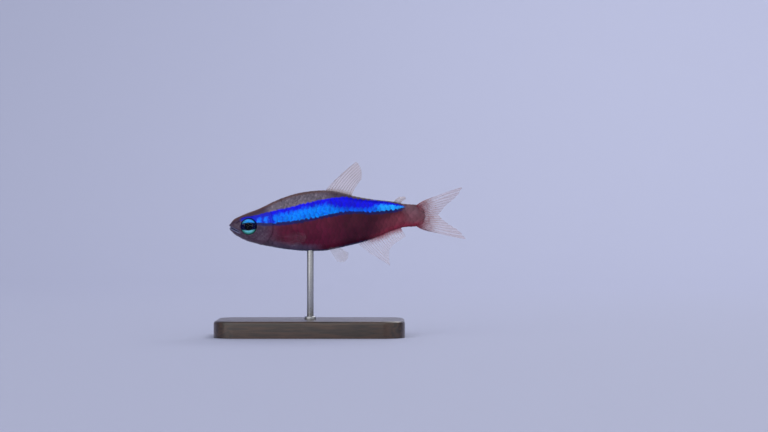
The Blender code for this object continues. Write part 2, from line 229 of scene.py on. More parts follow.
def finish_piece(piece: Piece, material: Material, nodes: Sequence[str] = ()) -> None:
    """Dresses a finished piece and ties it to the frame.

    Args:
        piece: The piece, with its place in its mesh.
        material: What it is made of.
        nodes: The CAD nodes that it stands for.
    """
    piece.data.materials.clear()
    piece.data.materials.append(material)
    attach(piece, ROOT)
    if nodes:
        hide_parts(*nodes)
    log.info("%s: %d faces", piece.name, len(piece.data.polygons))


def ease(x: np.ndarray) -> np.ndarray:
    """Rises from 0 to 1 with level ends."""
    x = np.clip(x, 0.0, 1.0)
    return x * x * (3 - 2 * x)


def bell(x: np.ndarray) -> np.ndarray:
    """A smooth hump of height 1 about 0, about 2 wide."""
    return np.exp(-(x * x))


@dataclass(frozen=True)
class SmoothLine:
    """A curve through points that doesn't overshoot between them."""

    points: Points

    def __call__(self, x: np.ndarray) -> np.ndarray:
        """Reads the curve.

        Args:
            x: Where to read it, any shape.

        Returns:
            The curve's height at each x.
        """
        xs, ys = np.array(self.points, float).T
        steps = np.diff(xs)
        slopes = np.diff(ys) / steps
        tangents = np.concatenate([slopes[:1], np.zeros(len(xs) - 2), slopes[-1:]])
        for i in range(1, len(xs) - 1):
            before, after = slopes[i - 1], slopes[i]
            if before * after > 0:
                near, far = 2 * steps[i] + steps[i - 1], steps[i] + 2 * steps[i - 1]
                tangents[i] = (near + far) / (near / before + far / after)
        x = np.clip(x, xs[0], xs[-1])
        i = np.clip(np.searchsorted(xs, x, side="right") - 1, 0, len(steps) - 1)
        s = (x - xs[i]) / steps[i]
        risen = s * s * (3 - 2 * s)
        bent = tangents[i] * s * (1 - s) ** 2 - tangents[i + 1] * s * s * (1 - s)
        return ys[i] * (1 - risen) + ys[i + 1] * risen + steps[i] * bent


def through(points: Points, share: np.ndarray) -> np.ndarray:
    """Reads a smooth line in the side view.

    Args:
        points: Rows of (share, t, h), from share 0 to 1.
        share: Where to read it.

    Returns:
        Rows of (t, h).
    """
    lines = (SmoothLine(tuple((point[0], point[k]) for point in points)) for k in (1, 2))
    return np.stack([line(share) for line in lines], -1)


@dataclass(frozen=True)
class FishFrame:
    """Where the fish is: its length, tilt and the snout's place in the world."""

    length: float = 34 * MM
    head_down: float = math.radians(3.3)
    rod_place: float = 0.42
    belly_on_rod: float = -0.1515

    @property
    def turn(self) -> Matrix:
        """The rotation from the fish's frame to the world."""
        return Matrix.Rotation(-self.head_down, 3, "Y")

    @property
    def snout(self) -> Vector:
        """The snout tip's place in the world, from the top of the rod.

        Returns:
            The place.
        """
        low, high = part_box("stand_rod")
        on_rod = Vector(((low.x + high.x) / 2, (low.y + high.y) / 2, high.z + GAP))
        return on_rod - self.turn @ Vector((self.rod_place, 0, self.belly_on_rod)) * self.length

    def to_world(self, local: np.ndarray) -> np.ndarray:
        """Turns rows of (t, b, h) shares into world coordinates."""
        return np.array(self.snout) + (local * self.length) @ np.array(self.turn).T


FISH = FishFrame()


@dataclass(frozen=True)
class BodyShape:
    """The fish's trunk as shares of its length. The tail root closes to an upright wedge."""

    back: SmoothLine = SmoothLine((
        (0.0, 0.030), (0.04, 0.048), (0.09, 0.067), (0.15, 0.0855), (0.22, 0.1130), (0.28, 0.135),
        (0.34, 0.152), (0.42, 0.164), (0.49, 0.1665), (0.55, 0.160), (0.61, 0.145), (0.68, 0.123),
        (0.78, 0.1005), (0.87, 0.0855), (0.94, 0.068), (1.0, 0.0625),
    ))
    belly: SmoothLine = SmoothLine((
        (0.0, -0.030), (0.03, -0.047), (0.08, -0.077), (0.14, -0.098), (0.22, -0.119), (0.32, -0.140),
        (0.42, -0.1515), (0.49, -0.1545), (0.58, -0.143), (0.70, -0.121), (0.79, -0.0945), (0.86, -0.069),
        (0.94, -0.054), (1.0, -0.056),
    ))
    half_width: SmoothLine = SmoothLine((
        (0.0, 0.030), (0.05, 0.049), (0.10, 0.0615), (0.17, 0.0715), (0.25, 0.0765), (0.36, 0.0765),
        (0.50, 0.067), (0.64, 0.052), (0.80, 0.034), (0.92, 0.021), (1.0, 0.013),
    ))
    nose_rounding: float = 0.034
    section_power: float = 2.2
    coat_depth: float = 0.05 * MM / FISH.length
    wedge_start: float = 0.95
    wedge_end: float = 1.018
    wedge_left: float = 0.08
    wedge_drop: float = 0.10
    tail_bulge: float = 0.020
    probe: float = 1e-4
    nearest: float = 1e-5

    def surface(self, t: np.ndarray, turn: np.ndarray) -> np.ndarray:
        """The bare trunk, with no relief.

        Args:
            t: Shares of the length behind the snout.
            turn: Angles from the back, towards the right side.

        Returns:
            Rows of (t, b, h) shares.
        """
        nose = np.sqrt(np.clip(1 - (1 - np.minimum(t / self.nose_rounding, 1)) ** 2, 0, 1))
        closing = ease((t - self.wedge_start) / (self.wedge_end - self.wedge_start))
        top, bottom = self.back(t) * nose, self.belly(t) * nose
        middle, half = (top + bottom) / 2, (top - bottom) / 2 * (1 - self.wedge_drop * closing**3)
        cos, sin = np.cos(turn), np.sin(turn)
        up = np.sign(cos) * np.abs(cos) ** (2 / self.section_power)
        side = np.sign(sin) * np.abs(sin) ** (2 / self.section_power)
        width = self.half_width(t) * nose * (1 - (1 - self.wedge_left) * closing)
        behind = self.tail_bulge * closing * (1 - up * up)
        return np.stack([t + behind, width * side, middle + half * up], -1)

    def outward(self, t: np.ndarray, turn: np.ndarray) -> np.ndarray:
        """The trunk's unit normals.

        Args:
            t: Shares of the length behind the snout.
            turn: Angles from the back, towards the right side.

        Returns:
            A normal where surface() gives each point.
        """
        small = self.probe
        along = self.surface(t + small, turn) - self.surface(np.maximum(t - small, self.nearest), turn)
        around = self.surface(t, turn + small) - self.surface(t, turn - small)
        normal = np.cross(along, around)
        return normal / np.linalg.norm(normal, axis=-1, keepdims=True)


SHAPE = BodyShape()


@dataclass(frozen=True)
class GillCover:
    """The gill cover's free edge, the groove behind it and the line round the cheek."""

    edge: float = 0.234
    rise: float = 0.030
    throat: float = 0.072
    front: float = 0.135
    lift: float = 0.22 * MM / FISH.length
    lift_power: float = 0.5
    step: float = 0.10 * MM / FISH.length
    groove_place: float = 1.6
    groove_share: float = 0.35
    throat_middle: float = -0.95
    cheek_line: float = 0.185
    cheek_bend: float = 0.11
    cheek_width: float = 0.004
    cheek_depth: float = 0.05 * MM / FISH.length
    upper_end: tuple[float, float] = (0.70, 0.35)

    def edge_at(self, turn: np.ndarray) -> np.ndarray:
        """Where the cover ends, at an angle from the back."""
        up = np.cos(turn)
        return self.edge - np.where(up > 0, self.rise, self.throat) * up * up

    def relief(self, t: np.ndarray, turn: np.ndarray) -> np.ndarray:
        """How far the cover stands out.

        Args:
            t: Shares of the length behind the snout.
            turn: Angles from the back, towards the right side.

        Returns:
            Heights over the bare trunk, as shares.
        """
        edge, up = self.edge_at(turn), np.cos(turn)
        bound, loose = self.upper_end
        free = ease((bound - up) / (bound - loose))
        rising = ease((t - self.front) / (edge - self.front)) * self.lift
        flare = rising * np.abs(np.sin(turn)) ** self.lift_power * free
        covered = 1 - ease((t - edge) / self.step)
        groove = bell((t - edge - self.groove_place * self.step) / self.step) * self.groove_share * self.lift
        line = self.cheek_line - self.cheek_bend * np.clip(-up, 0, 1) ** 2
        cheek = bell((t - line) / self.cheek_width) * self.cheek_depth * free
        return flare * covered - groove * (up > self.throat_middle) * free - cheek


@dataclass(frozen=True)
class Mouth:
    """Lips along a line that runs back and down from the snout tip.

    The slit loses a share of its depth towards the corner, and the lips of their swelling.
    """

    tip: tuple[float, float] = (-0.010, 0.006)
    corner: tuple[float, float] = (0.052, -0.030)
    slit: float = 0.085 * MM / FISH.length
    depth: float = 0.34 * MM / FISH.length
    depth_lost: float = 0.5
    lip_reach: float = 0.27 * MM / FISH.length
    lip_place: float = 1.2
    lip_swell: float = 0.13 * MM / FISH.length
    swell_lost: float = 0.55

    def relief(self, t: np.ndarray, h: np.ndarray) -> np.ndarray:
        """The slit between the lips and their swelling, both weaker at the corner.

        Args:
            t: Shares of the length behind the snout.
            h: Heights over the axis, as shares.

        Returns:
            Heights over the bare trunk, as shares.
        """
        (t0, h0), (t1, h1) = self.tip, self.corner
        along = ((t - t0) * (t1 - t0) + (h - h0) * (h1 - h0)) / ((t1 - t0) ** 2 + (h1 - h0) ** 2)
        along = np.clip(along, 0, 1)
        away = np.hypot(t - t0 - along * (t1 - t0), h - h0 - along * (h1 - h0))
        lips = bell((away - self.lip_place * self.lip_reach) / self.lip_reach)
        swell = self.lip_swell * lips * (1 - self.swell_lost * along)
        return swell - self.depth * bell(away / self.slit) * (1 - self.depth_lost * along**3)


@dataclass(frozen=True)
class EyePlace:
    """Where the eyes sit and how large they are.

    The centre is in shares of the fish, the pupil in shares of the radius, lengths in metres.
    """

    centre: tuple[float, float] = (0.1055, -0.003)
    radius: float = 1.51 * MM
    depth: float = 0.85 * MM
    stand_out: float = 0.16 * MM
    forward: float = math.radians(9)
    pupil: float = 0.46
    rim_cover: float = 0.965
    rim_step: float = 0.075 * MM
    socket_depth: float = 0.62 * MM
    ring_lift: float = 0.07 * MM
    ring_reach: float = 0.30 * MM

    def middle(self, side: Side) -> np.ndarray:
        """The centre of an eye.

        Args:
            side: Which eye.

        Returns:
            Its (t, b, h) shares.
        """
        t, h = self.centre
        outer = float(SHAPE.half_width(np.array(t))) + (self.stand_out - self.depth) / FISH.length
        return np.array((t, side.value * outer, h))

    def relief(self, t: np.ndarray, h: np.ndarray) -> np.ndarray:
        """The socket and the low ring of bone round it.

        Args:
            t: Shares of the length behind the snout.
            h: Heights over the axis, as shares.

        Returns:
            Heights over the bare trunk, as shares.
        """
        away = np.hypot(t - self.centre[0], h - self.centre[1]) * FISH.length
        rim = self.radius * self.rim_cover
        socket = ease((rim + self.rim_step / 2 - away) / self.rim_step) * self.socket_depth
        ring = bell((away - rim - self.ring_reach / 2) / self.ring_reach) * self.ring_lift
        return (ring * (away > rim - self.rim_step) - socket) / FISH.length


@dataclass(frozen=True)
class Nostrils:
    """Two small openings on each side, each a pit in a thin raised rim."""

    places: Points = ((0.043, 0.021), (0.054, 0.026))
    radius: float = 0.14 * MM / FISH.length
    depth: float = 0.20 * MM / FISH.length
    rim: float = 0.05 * MM / FISH.length
    rim_place: float = 1.5
    rim_width: float = 0.5

    def relief(self, t: np.ndarray, h: np.ndarray) -> np.ndarray:
        """The pits and the rims.

        Args:
            t: Shares of the length behind the snout.
            h: Heights over the axis, as shares.

        Returns:
            Heights over the bare trunk, as shares.
        """
        out = np.zeros_like(t)
        for place_t, place_h in self.places:
            away = np.hypot(t - place_t, h - place_h)
            out += self.rim * bell((away - self.rim_place * self.radius) / (self.rim_width * self.radius))
            out -= self.depth * bell(away / self.radius) ** 2
        return out


EYES = EyePlace()
GILLS = GillCover()
MOUTH = Mouth()


def linear(code: str) -> tuple[float, float, float, float]:
    """A colour's linear values, and alpha 1, from its six-digit code.

    Args:
        code: The code, without a sign before it.

    Returns:
        Red, green, blue and alpha.
    """
    parts = [int(code[i : i + 2], 16) / 255 for i in (0, 2, 4)]
    straight = [p / 12.92 if p <= 0.04045 else ((p + 0.055) / 1.055) ** 2.4 for p in parts]
    return (*straight, 1.0)


class Value:
    """An output of a shader node, to calculate with."""

    def __init__(self, graph: "Graph", socket: bpy.types.NodeSocket) -> None:
        """Keeps the output with the graph that it is in."""
        self.graph, self.socket = graph, socket

    def __add__(self, other: Source) -> "Value":
        """The sum."""
        return self.graph.math("ADD", self, other)

    def __sub__(self, other: Source) -> "Value":
        """The difference."""
        return self.graph.math("SUBTRACT", self, other)

    def __mul__(self, other: Source) -> "Value":
        """The product."""
        return self.graph.math("MULTIPLY", self, other)

    def __truediv__(self, other: Source) -> "Value":
        """The quotient."""
        return self.graph.math("DIVIDE", self, other)

    def scaled(self, factor: Source, offset: Source, clamp: bool = False) -> "Value":
        """The value times a factor, plus an offset."""
        return self.graph.math("MULTIPLY_ADD", self, factor, offset, clamp=clamp)

    def spread(self, width: float) -> "Value":
        """Turns noise about 0.5 into noise about 0, over a width."""
        return self.scaled(width, -width / 2)

    def step(self, low: float, high: float, first: float = 0.0, last: float = 1.0) -> "Value":
        """Goes smoothly from one number to another.

        Args:
            low: The value up to which it is the first number. It may be the larger one.
            high: The value from which it is the last number.
            first: The first number.
            last: The last number.

        Returns:
            The number.
        """
        settings = dict(enumerate((self, low, high, first, last)))
        return self.graph.result("ShaderNodeMapRange", settings, interpolation_type="SMOOTHSTEP")

    def line(self, points: Points, span: float = HIGHEST) -> "Value":
        """A smooth curve of the value, from 0 to 1.

        Args:
            points: Pairs of a value and the height there.
            span: The curve's heights lie between -span and span.

        Returns:
            The height.
        """
        node = self.graph.add("ShaderNodeFloatCurve")
        curve = node.mapping.curves[0]
        for _ in points[2:]:
            curve.points.new(0.5, 0.5)
        for point, (x, y) in zip(curve.points, points):
            point.location = (x, 0.5 + 0.5 * y / span)
            point.handle_type = "AUTO_CLAMPED"
        node.mapping.update()
        self.graph.feed(node.inputs["Value"], self)
        return Value(self.graph, node.outputs[0]).scaled(2 * span, -span)

    def noise(self, scale: float, detail: float = 2.0) -> "Value":
        """Noise about 0.5 at a place."""
        return self.graph.result("ShaderNodeTexNoise", {"Vector": self, "Scale": scale, "Detail": detail})

    def mapped(
        self, scale: Sequence[float], location: Sequence[float] = (0, 0, 0), tilt: float = 0.0
    ) -> "Value":
        """Moves a place in the graph.

        Args:
            scale: How much it is scaled, first.
            location: How far it is moved, last.
            tilt: Its turn about y.

        Returns:
            The new place.
        """
        settings = {"Vector": self, "Scale": scale, "Location": location, "Rotation": (0, tilt, 0)}
        return self.graph.result("ShaderNodeMapping", settings)

    def split(self) -> list["Value"]:
        """The x, y and z of a vector."""
        node = self.graph.result("ShaderNodeSeparateXYZ", {0: self}).socket.node
        return [Value(self.graph, socket) for socket in node.outputs]


class Graph:
    """Adds nodes to a shader tree."""

    def __init__(self, tree: bpy.types.NodeTree) -> None:
        """Works in one tree."""
        self.tree = tree

    def add(self, kind: str, **settings: object) -> bpy.types.Node:
        """Adds a node.

        Args:
            kind: Blender's name for the node's type.
            settings: Values for the node's own properties.

        Returns:
            The node.
        """
        node = self.tree.nodes.new(kind)
        for name, value in settings.items():
            setattr(node, name, value)
        return node

    def feed(self, socket: bpy.types.NodeSocket, source: Source) -> None:
        """Links an input to a value, or sets it.

        Args:
            socket: The input.
            source: The value, or else a constant. A colour's code stands for the colour.
        """
        if isinstance(source, Value):
            self.tree.links.new(source.socket, socket)
        else:
            socket.default_value = linear(source) if isinstance(source, str) else source

    def result(self, kind: str, sources: dict, output: int | str = 0, **settings: object) -> Value:
        """Adds a node and feeds it.

        Args:
            kind: Blender's name for the node's type.
            sources: What goes into each input, by the input's name or number.
            output: The name or number of the output that is wanted.
            settings: Values for the node's own properties.

        Returns:
            The output.
        """
        node = self.add(kind, **settings)
        for key, source in sources.items():
            self.feed(node.inputs[key], source)
        return Value(self, node.outputs[output])

    def math(self, operation: str, *sources: Source, clamp: bool = False) -> Value:
        """One Math node on up to three values."""
        return self.result("ShaderNodeMath", dict(enumerate(sources)), operation=operation, use_clamp=clamp)

    def mix(self, share: Source, first: Source, second: Source) -> Value:
        """Mixes two colours."""
        return self.result("ShaderNodeMix", {0: share, 6: first, 7: second}, 2, data_type="RGBA")

    def mix_numbers(self, share: Source, first: Source, second: Source) -> Value:
        """Mixes two numbers."""
        return self.result("ShaderNodeMix", {0: share, 2: first, 3: second}, data_type="FLOAT")

    def mix_places(self, share: Source, first: Source, second: Source) -> Value:
        """Mixes two vectors."""
        return self.result("ShaderNodeMix", {0: share, 4: first, 5: second}, 1, data_type="VECTOR")

    def layers(self, colour: Source, *coats: tuple[Source, Source]) -> Value:
        """Lays colours over one another.

        Args:
            colour: The lowest colour.
            coats: A mask and a colour for each coat, from the lowest up.

        Returns:
            The colour on top.
        """
        for share, coat in coats:
            colour = self.mix(share, colour, coat)
        return colour

    def radius(self, x: Value, z: Value) -> Value:
        """How far a point of the plane lies from its middle."""
        return self.math("SQRT", x * x + z * z)

    def place(self) -> Value:
        """The piece's Object coordinates."""
        return self.result("ShaderNodeTexCoord", {}, "Object")

    def attribute(self, name: str, output: str = "Vector") -> Value:
        """Reads what store() kept."""
        return self.result("ShaderNodeAttribute", {}, output, attribute_name=name, attribute_type="GEOMETRY")

    def bump(self, height: Value, distance: float, strength: float = 1.0) -> Value:
        """Turns a height into a normal."""
        return self.result("ShaderNodeBump", {"Height": height, "Distance": distance, "Strength": strength})


class MaterialGraph(Graph):
    """The graph of a new material with a Principled shader."""

    def __init__(self, name: str) -> None:
        """Starts the material.

        Args:
            name: The material's name.
        """
        self.material = bpy.data.materials.new(name)
        self.material.use_nodes = True
        super().__init__(self.material.node_tree)

    def dress(self, **sources: Source) -> Material:
        """Feeds the shader.

        Args:
            sources: The shader's inputs, with _ for a space, and what goes into each.

        Returns:
            The finished material.
        """
        shader = self.tree.nodes["Principled BSDF"]
        for key, source in sources.items():
            self.feed(shader.inputs[key.replace("_", " ")], source)
        return self.material


def fish_place(place: Value) -> Value:
    """Turns Object coordinates into the fish's own (t, b, h) shares."""
    offset = -(FISH.turn.transposed() @ FISH.snout) / FISH.length
    return place.mapped((1 / FISH.length,) * 3, tuple(offset), FISH.head_down)


class Readings:
    """What the markings are mixed from, at a place on the skin."""

    dot_scale: float = 210.0
    dot_size: Ramp = (0.60, 0.68, 0.0, 0.5)
    fine_scale: float = 75.0
    coarse_scale: float = 16.0

    def __init__(self, graph: Graph, place: Value) -> None:
        """Reads the place.

        Args:
            graph: The graph to work in.
            place: Object coordinates.
        """
        local = fish_place(place)
        self.graph = graph
        self.t, _, self.h = local.split()
        self.from_back = self.t.line(SHAPE.back.points) - self.h
        self.from_belly = self.h - self.t.line(SHAPE.belly.points)
        self.fine, self.coarse = local.noise(self.fine_scale, detail=3.0), local.noise(self.coarse_scale)
        self.dots = local.noise(self.dot_scale, detail=1.0).step(*self.dot_size)


@dataclass(frozen=True)
class FlankMarks:
    """Wine red below the stripe, darkest in the middle, over a pale belly with a painted blue fringe of
    backlight along its edge.
    """

    front: str = "5a0f2f"
    dark: str = "3c0520"
    rear: str = "7c3645"
    end: str = "7f4d59"
    anal: str = "8c2c42"
    belly: str = "62506a"
    # Painted light: a navy fringe of backlight along the belly's edge.
    belly_backlight_fringe: str = "2c3362"
    dark_from: Ramp = (0.52, 0.64)
    rear_from: Ramp = (0.72, 0.90)
    rear_height: Ramp = (0.10, 0.045, 0.12, 1.0)
    end_from: Ramp = (0.91, 0.97)
    clouds: Ramp = (0.35, 0.70, 0.0, 0.10)
    anal_from: Ramp = (0.68, 0.86)
    anal_height: Ramp = (0.036, 0.006)
    belly_until: Ramp = (0.52, 0.38)
    belly_height: Ramp = (0.046, 0.018)
    belly_wave: float = 0.02
    backlight_fringe_until: Ramp = (0.76, 0.68)
    backlight_fringe_height: Ramp = (0.012, 0.001)

    def colour(self, at: Readings) -> Value:
        """Mixes the flank's colour.

        Args:
            at: The readings.

        Returns:
            The colour.
        """
        t, height = at.t, at.from_belly
        waved = height + at.coarse.spread(self.belly_wave)
        return at.graph.layers(
            self.front,
            (t.step(*self.dark_from), self.dark),
            (t.step(*self.rear_from) * height.step(*self.rear_height), self.rear),
            (t.step(*self.end_from), self.end),
            (at.coarse.step(*self.clouds), self.rear),
            (height.step(*self.anal_height) * t.step(*self.anal_from), self.anal),
            (waved.step(*self.belly_height) * t.step(*self.belly_until), self.belly),
            # The painted blue backlight fringe, a thin band along the belly's edge ahead of the tail.
            (height.step(*self.backlight_fringe_height) * t.step(*self.backlight_fringe_until), self.belly_backlight_fringe),
        )


@dataclass(frozen=True)
class HeadMarks:
    """Brown violet head with a paler cheek, a painted bluish highlight along the lips, painted shade in the
    slit of the mouth, and dots.
    """

    head: str = "3e2b42"
    cheek: str = "5c4457"
    # Painted highlight: a pale blue streak of light along the lips.
    lip_highlight: str = "6a7098"
    # Painted shade: the dark line in the crease where the lips meet.
    mouth: str = "1a121c"
    pale: str = "978b99"
    dot: str = "1d1520"
    cheek_height: Ramp = (0.0, -0.10)
    lip_highlight_width: Ramp = (0.010, 0.003)
    lip_highlight_until: Ramp = (0.066, 0.040)
    slit_shade_width: Ramp = (0.0032, 0.0014)
    slit_shade_until: Ramp = (0.056, 0.048)
    mottle: Ramp = (0.40, 0.75, 0.0, 0.18)

    def colour(self, at: Readings) -> Value:
        """Mixes the head's colour.

        Args:
            at: The readings.

        Returns:
            The colour.
        """
        (t0, h0), (t1, h1) = MOUTH.tip, MOUTH.corner
        length = math.hypot(t1 - t0, h1 - h0)
        down, along = (h0 - h1) / length, (t1 - t0) / length
        level = at.t.scaled(down, -t0 * down - h0 * along)
        from_mouth = at.graph.math("ABSOLUTE", at.h.scaled(along, level))
        return at.graph.layers(
            self.head,
            (at.h.step(*self.cheek_height), self.cheek),
            # The painted highlight along the lips, near the snout.
            (from_mouth.step(*self.lip_highlight_width) * at.t.step(*self.lip_highlight_until), self.lip_highlight),
            # Painted shade along the mouth's slit.
            (from_mouth.step(*self.slit_shade_width) * at.t.step(*self.slit_shade_until), self.mouth),
            (at.fine.step(*self.mottle), self.pale),
            (at.dots, self.dot),
        )


@dataclass(frozen=True)
class BackMarks:
    """Grey violet back, its pale mottle a painted highlight of the scales, with a painted brown fringe of
    backlight along its edge, darker behind the dorsal fin.
    """

    back: str = "635a69"
    # The mottle's pale colour; on the back it is a painted highlight of light on the scales' edges.
    pale: str = HeadMarks.pale
    crown: str = HeadMarks.head
    # Painted light: a brown fringe of backlight along the back's edge.
    rim: str = "5a382e"
    dot: str = HeadMarks.dot
    dark: str = "3a2b3e"
    tail: str = "6e4f5a"
    mottle: Ramp = (0.42, 0.70, 0.0, 0.5)
    crown_until: Ramp = (0.24, 0.18)
    rim_width: Ramp = (0.022, 0.004, 0.0, 0.85)
    dark_from: Ramp = (0.47, 0.58, 0.0, 0.8)
    tail_from: Ramp = (0.88, 0.96)

    def colour(self, at: Readings) -> Value:
        """Mixes the back's colour.

        Args:
            at: The readings.

        Returns:
            The colour.
        """
        return at.graph.layers(
            self.back,
            # Painted highlight: pale mottle standing in for light catching the scales' edges.
            (at.fine.step(*self.mottle), self.pale),
            (at.t.step(*self.crown_until), self.crown),
            # The painted brown backlight fringe, in a band along the back's edge.
            (at.from_back.step(*self.rim_width), self.rim),
            (at.dots, self.dot),
            (at.t.step(*self.dark_from), self.dark),
            (at.t.step(*self.tail_from), self.tail),
        )


@dataclass(frozen=True)
class StripeMarks:
    """The stripe, deep blue above and glowing azure below, with painted glints of single scales in the azure
    and a dark border under it.
    """

    deep: str = "0000d8"
    bright: str = "008cff"
    cyan: str = "1c9cff"
    on_head: str = "000890"
    under: str = "030f60"
    top: Points = (
        (0.0, 0.034), (0.07, 0.046), (0.15, 0.055), (0.23, 0.0715), (0.33, 0.087), (0.43, 0.107),
        (0.54, 0.121), (0.60, 0.123), (0.70, 0.106), (0.80, 0.093), (0.86, 0.081), (0.935, 0.057),
        (1.0, 0.040),
    )
    bottom: Points = (
        (0.0, 0.026), (0.07, 0.025), (0.11, 0.025), (0.155, 0.013), (0.25, 0.007), (0.33, 0.0095),
        (0.43, 0.020), (0.54, 0.036), (0.63, 0.045), (0.70, 0.042), (0.75, 0.036), (0.86, 0.040),
        (0.935, 0.051), (1.0, 0.060),
    )
    brightness: Points = (
        (0.0, 0.1), (0.145, 0.10), (0.165, 0.7), (0.180, 0.2), (0.200, 0.7), (0.222, 0.05), (0.25, 0.70),
        (0.40, 0.95), (0.55, 0.95), (0.63, 0.50), (0.75, 0.5), (0.81, 1.0), (0.90, 0.9), (1.0, 0.3),
    )
    dimmed: Points = (
        (0.0, 0.0), (0.50, 0.0), (0.56, 0.22), (0.64, 0.42), (0.73, 0.40), (0.79, 0.05), (1.0, 0.0),
    )
    thinnest: float = 0.002
    edge_wave: float = 0.012
    glow_wave: float = 0.5
    patch_wave: float = 0.05
    glow_height: Ramp = (0.82, 0.48)
    # Painted highlight: single scales glinting in the azure; the azure itself is the stripe's own colour.
    scale_glints: Ramp = (0.30, 0.62, 0.45, 1.0)
    cyan_from: Ramp = (0.78, 0.82)
    dull_until: Ramp = (0.240, 0.215, 0.0, 0.55)
    dull_glow: Ramp = (0.7, 0.2)
    bottom_edge: Ramp = (-0.001, 0.004)
    top_edge: Ramp = (-0.003, 0.004)
    starts: Ramp = (0.055, 0.075)
    ends: Ramp = (0.945, 0.915)
    under_low: Ramp = (-0.018, -0.008)
    under_high: Ramp = (0.008, 0.0)
    under_starts: Ramp = (0.085, 0.115)
    under_ends: Ramp = (0.945, 0.90)
    under_share: float = 0.95
    shine: tuple[float, float] = (0.30, 0.50)

    def paint(self, at: Readings, body: Value) -> tuple[Value, Value]:
        """Lays the stripe and its border over the body's colour.

        Args:
            at: The readings.
            body: The body's colour.

        Returns:
            The new colour, and how metallic it is.
        """
        graph, t, fine = at.graph, at.t, at.fine
        top, bottom = t.line(self.top), t.line(self.bottom)
        height = at.h + fine.spread(self.edge_wave)
        above, below = height - bottom, top - height
        across = above / graph.math("MAXIMUM", top - bottom, self.thinnest)
        raised = across + fine.spread(self.glow_wave) + t.line(self.dimmed, 1.0)
        patches = (t + fine.spread(self.patch_wave)).line(self.brightness, 1.0)
        glow = raised.step(*self.glow_height) * patches
        colour = graph.layers(
            self.deep,
            # The stripe's own azure, with painted glints of single scales mixed in.
            (glow * fine.step(*self.scale_glints), self.bright),
            (t.step(*self.cyan_from) * glow, self.cyan),
            (t.step(*self.dull_until) * glow.step(*self.dull_glow), self.on_head),
        )
        inside = above.step(*self.bottom_edge) * below.step(*self.top_edge)
        inside = inside * t.step(*self.ends) * t.step(*self.starts)
        border = above.step(*self.under_low) * above.step(*self.under_high)
        border = border * t.step(*self.under_ends) * t.step(*self.under_starts)
        body = graph.layers(body, (border * self.under_share, self.under), (inside, colour))
        return body, inside * glow.scaled(*self.shine)


@dataclass(frozen=True)
class Markings:
    """The pattern of the whole skin, as one node group that skin and scales share."""

    flank: FlankMarks = FlankMarks()
    head: HeadMarks = HeadMarks()
    back: BackMarks = BackMarks()
    stripe: StripeMarks = StripeMarks()
    head_until: Ramp = (0.300, 0.165)
    back_drop: float = 0.02
    back_blur: Ramp = (0.88, 0.94, 0.004, 0.035)
    gloss: Ramp = (0.3, 0.7, 0.30, 0.44)
    group_name: str = "fish_markings"

    def build(self) -> bpy.types.NodeTree:
        """Builds the group.

        Returns:
            A group from Place to Color, Roughness and Metallic.
        """
        tree = bpy.data.node_groups.new(self.group_name, "ShaderNodeTree")
        tree.interface.new_socket(name="Place", in_out="INPUT", socket_type="NodeSocketVector")
        for name, kind in (("Color", "Color"), ("Roughness", "Float"), ("Metallic", "Float")):
            tree.interface.new_socket(name=name, in_out="OUTPUT", socket_type=f"NodeSocket{kind}")
        graph = Graph(tree)
        at = Readings(graph, graph.result("NodeGroupInput", {}, "Place"))
        below = graph.mix(at.t.step(*self.head_until), self.flank.colour(at), self.head.colour(at))
        boundary = at.t.line(tuple((x, y - self.back_drop) for x, y in self.stripe.top))
        over = (at.h - boundary) / at.t.step(*self.back_blur)
        body = graph.mix(over.scaled(0.5, 0.5, clamp=True), below, self.back.colour(at))
        colour, metallic = self.stripe.paint(at, body)
        end = graph.add("NodeGroupOutput")
        for socket, source in zip(end.inputs, (colour, at.fine.step(*self.gloss), metallic)):
            graph.feed(socket, source)
        return tree

    def read(self, graph: Graph, place: Value) -> list[Value]:
        """Places the group in a material.

        Args:
            graph: The material's graph.
            place: Where to read the pattern.

        Returns:
            The colour, the roughness and how metallic it is.
        """
        tree = bpy.data.node_groups.get(self.group_name) or self.build()
        node = graph.add("ShaderNodeGroup", node_tree=tree)
        graph.feed(node.inputs["Place"], place)
        return [Value(graph, socket) for socket in node.outputs]


@dataclass(frozen=True)
class SkinFinish:
    """Wet bare skin with the fish's markings."""

    pore_scale: float = 9000.0
    pore_depth: float = 0.012 * MM

    def material(self) -> Material:
        """Builds the skin's material.

        Returns:
            The material.
        """
        graph = MaterialGraph("wet_skin")
        place = graph.place()
        colour, roughness, metallic = Markings().read(graph, place)
        pores = graph.bump(place.noise(self.pore_scale, detail=3.0), self.pore_depth)
        return graph.dress(
            Base_Color=colour, Roughness=roughness, Metallic=metallic, Normal=pores,
            Coat_Weight=0.12, Coat_Roughness=0.10, IOR=1.28,
        )


@dataclass(frozen=True)
class ScaleFinish:
    """Thin glossy scales: the same markings, each scale with a darker rim."""

    own_colour: float = 0.20
    rim: str = "141020"
    rim_place: tuple[float, float] = (0.72, 0.98)
    rim_dark: float = 0.22
    shades: tuple[float, float] = (0.84, 1.12)
    ring_count: float = 55.0
    ring_height: float = 0.5
    fan_count: float = 18.0
    fan_height: float = 0.4
    ridge_depth: float = 0.010 * MM

    def material(self) -> Material:
        """Builds the scales' material.

        Returns:
            The material.
        """
        graph = MaterialGraph("scale_gloss")
        place = graph.mix_places(self.own_colour, graph.place(), graph.attribute("scale_root"))
        colour, roughness, metallic = Markings().read(graph, place)
        along, across, chance = graph.attribute("scale_place").split()
        colour = graph.mix(along.step(*self.rim_place, 0.0, self.rim_dark), colour, self.rim)
        shade = {"Value": chance.step(0.0, 1.0, *self.shades), "Color": colour}
        fans = graph.math("SINE", across * self.fan_count) * self.fan_height
        ridges = graph.math("SINE", along * self.ring_count).scaled(self.ring_height, fans)
        return graph.dress(
            Base_Color=graph.result("ShaderNodeHueSaturation", shade), Roughness=roughness,
            Metallic=metallic, Normal=graph.bump(ridges, self.ridge_depth, strength=0.35),
            Coat_Weight=0.06, Coat_Roughness=0.12, IOR=1.25,
        )


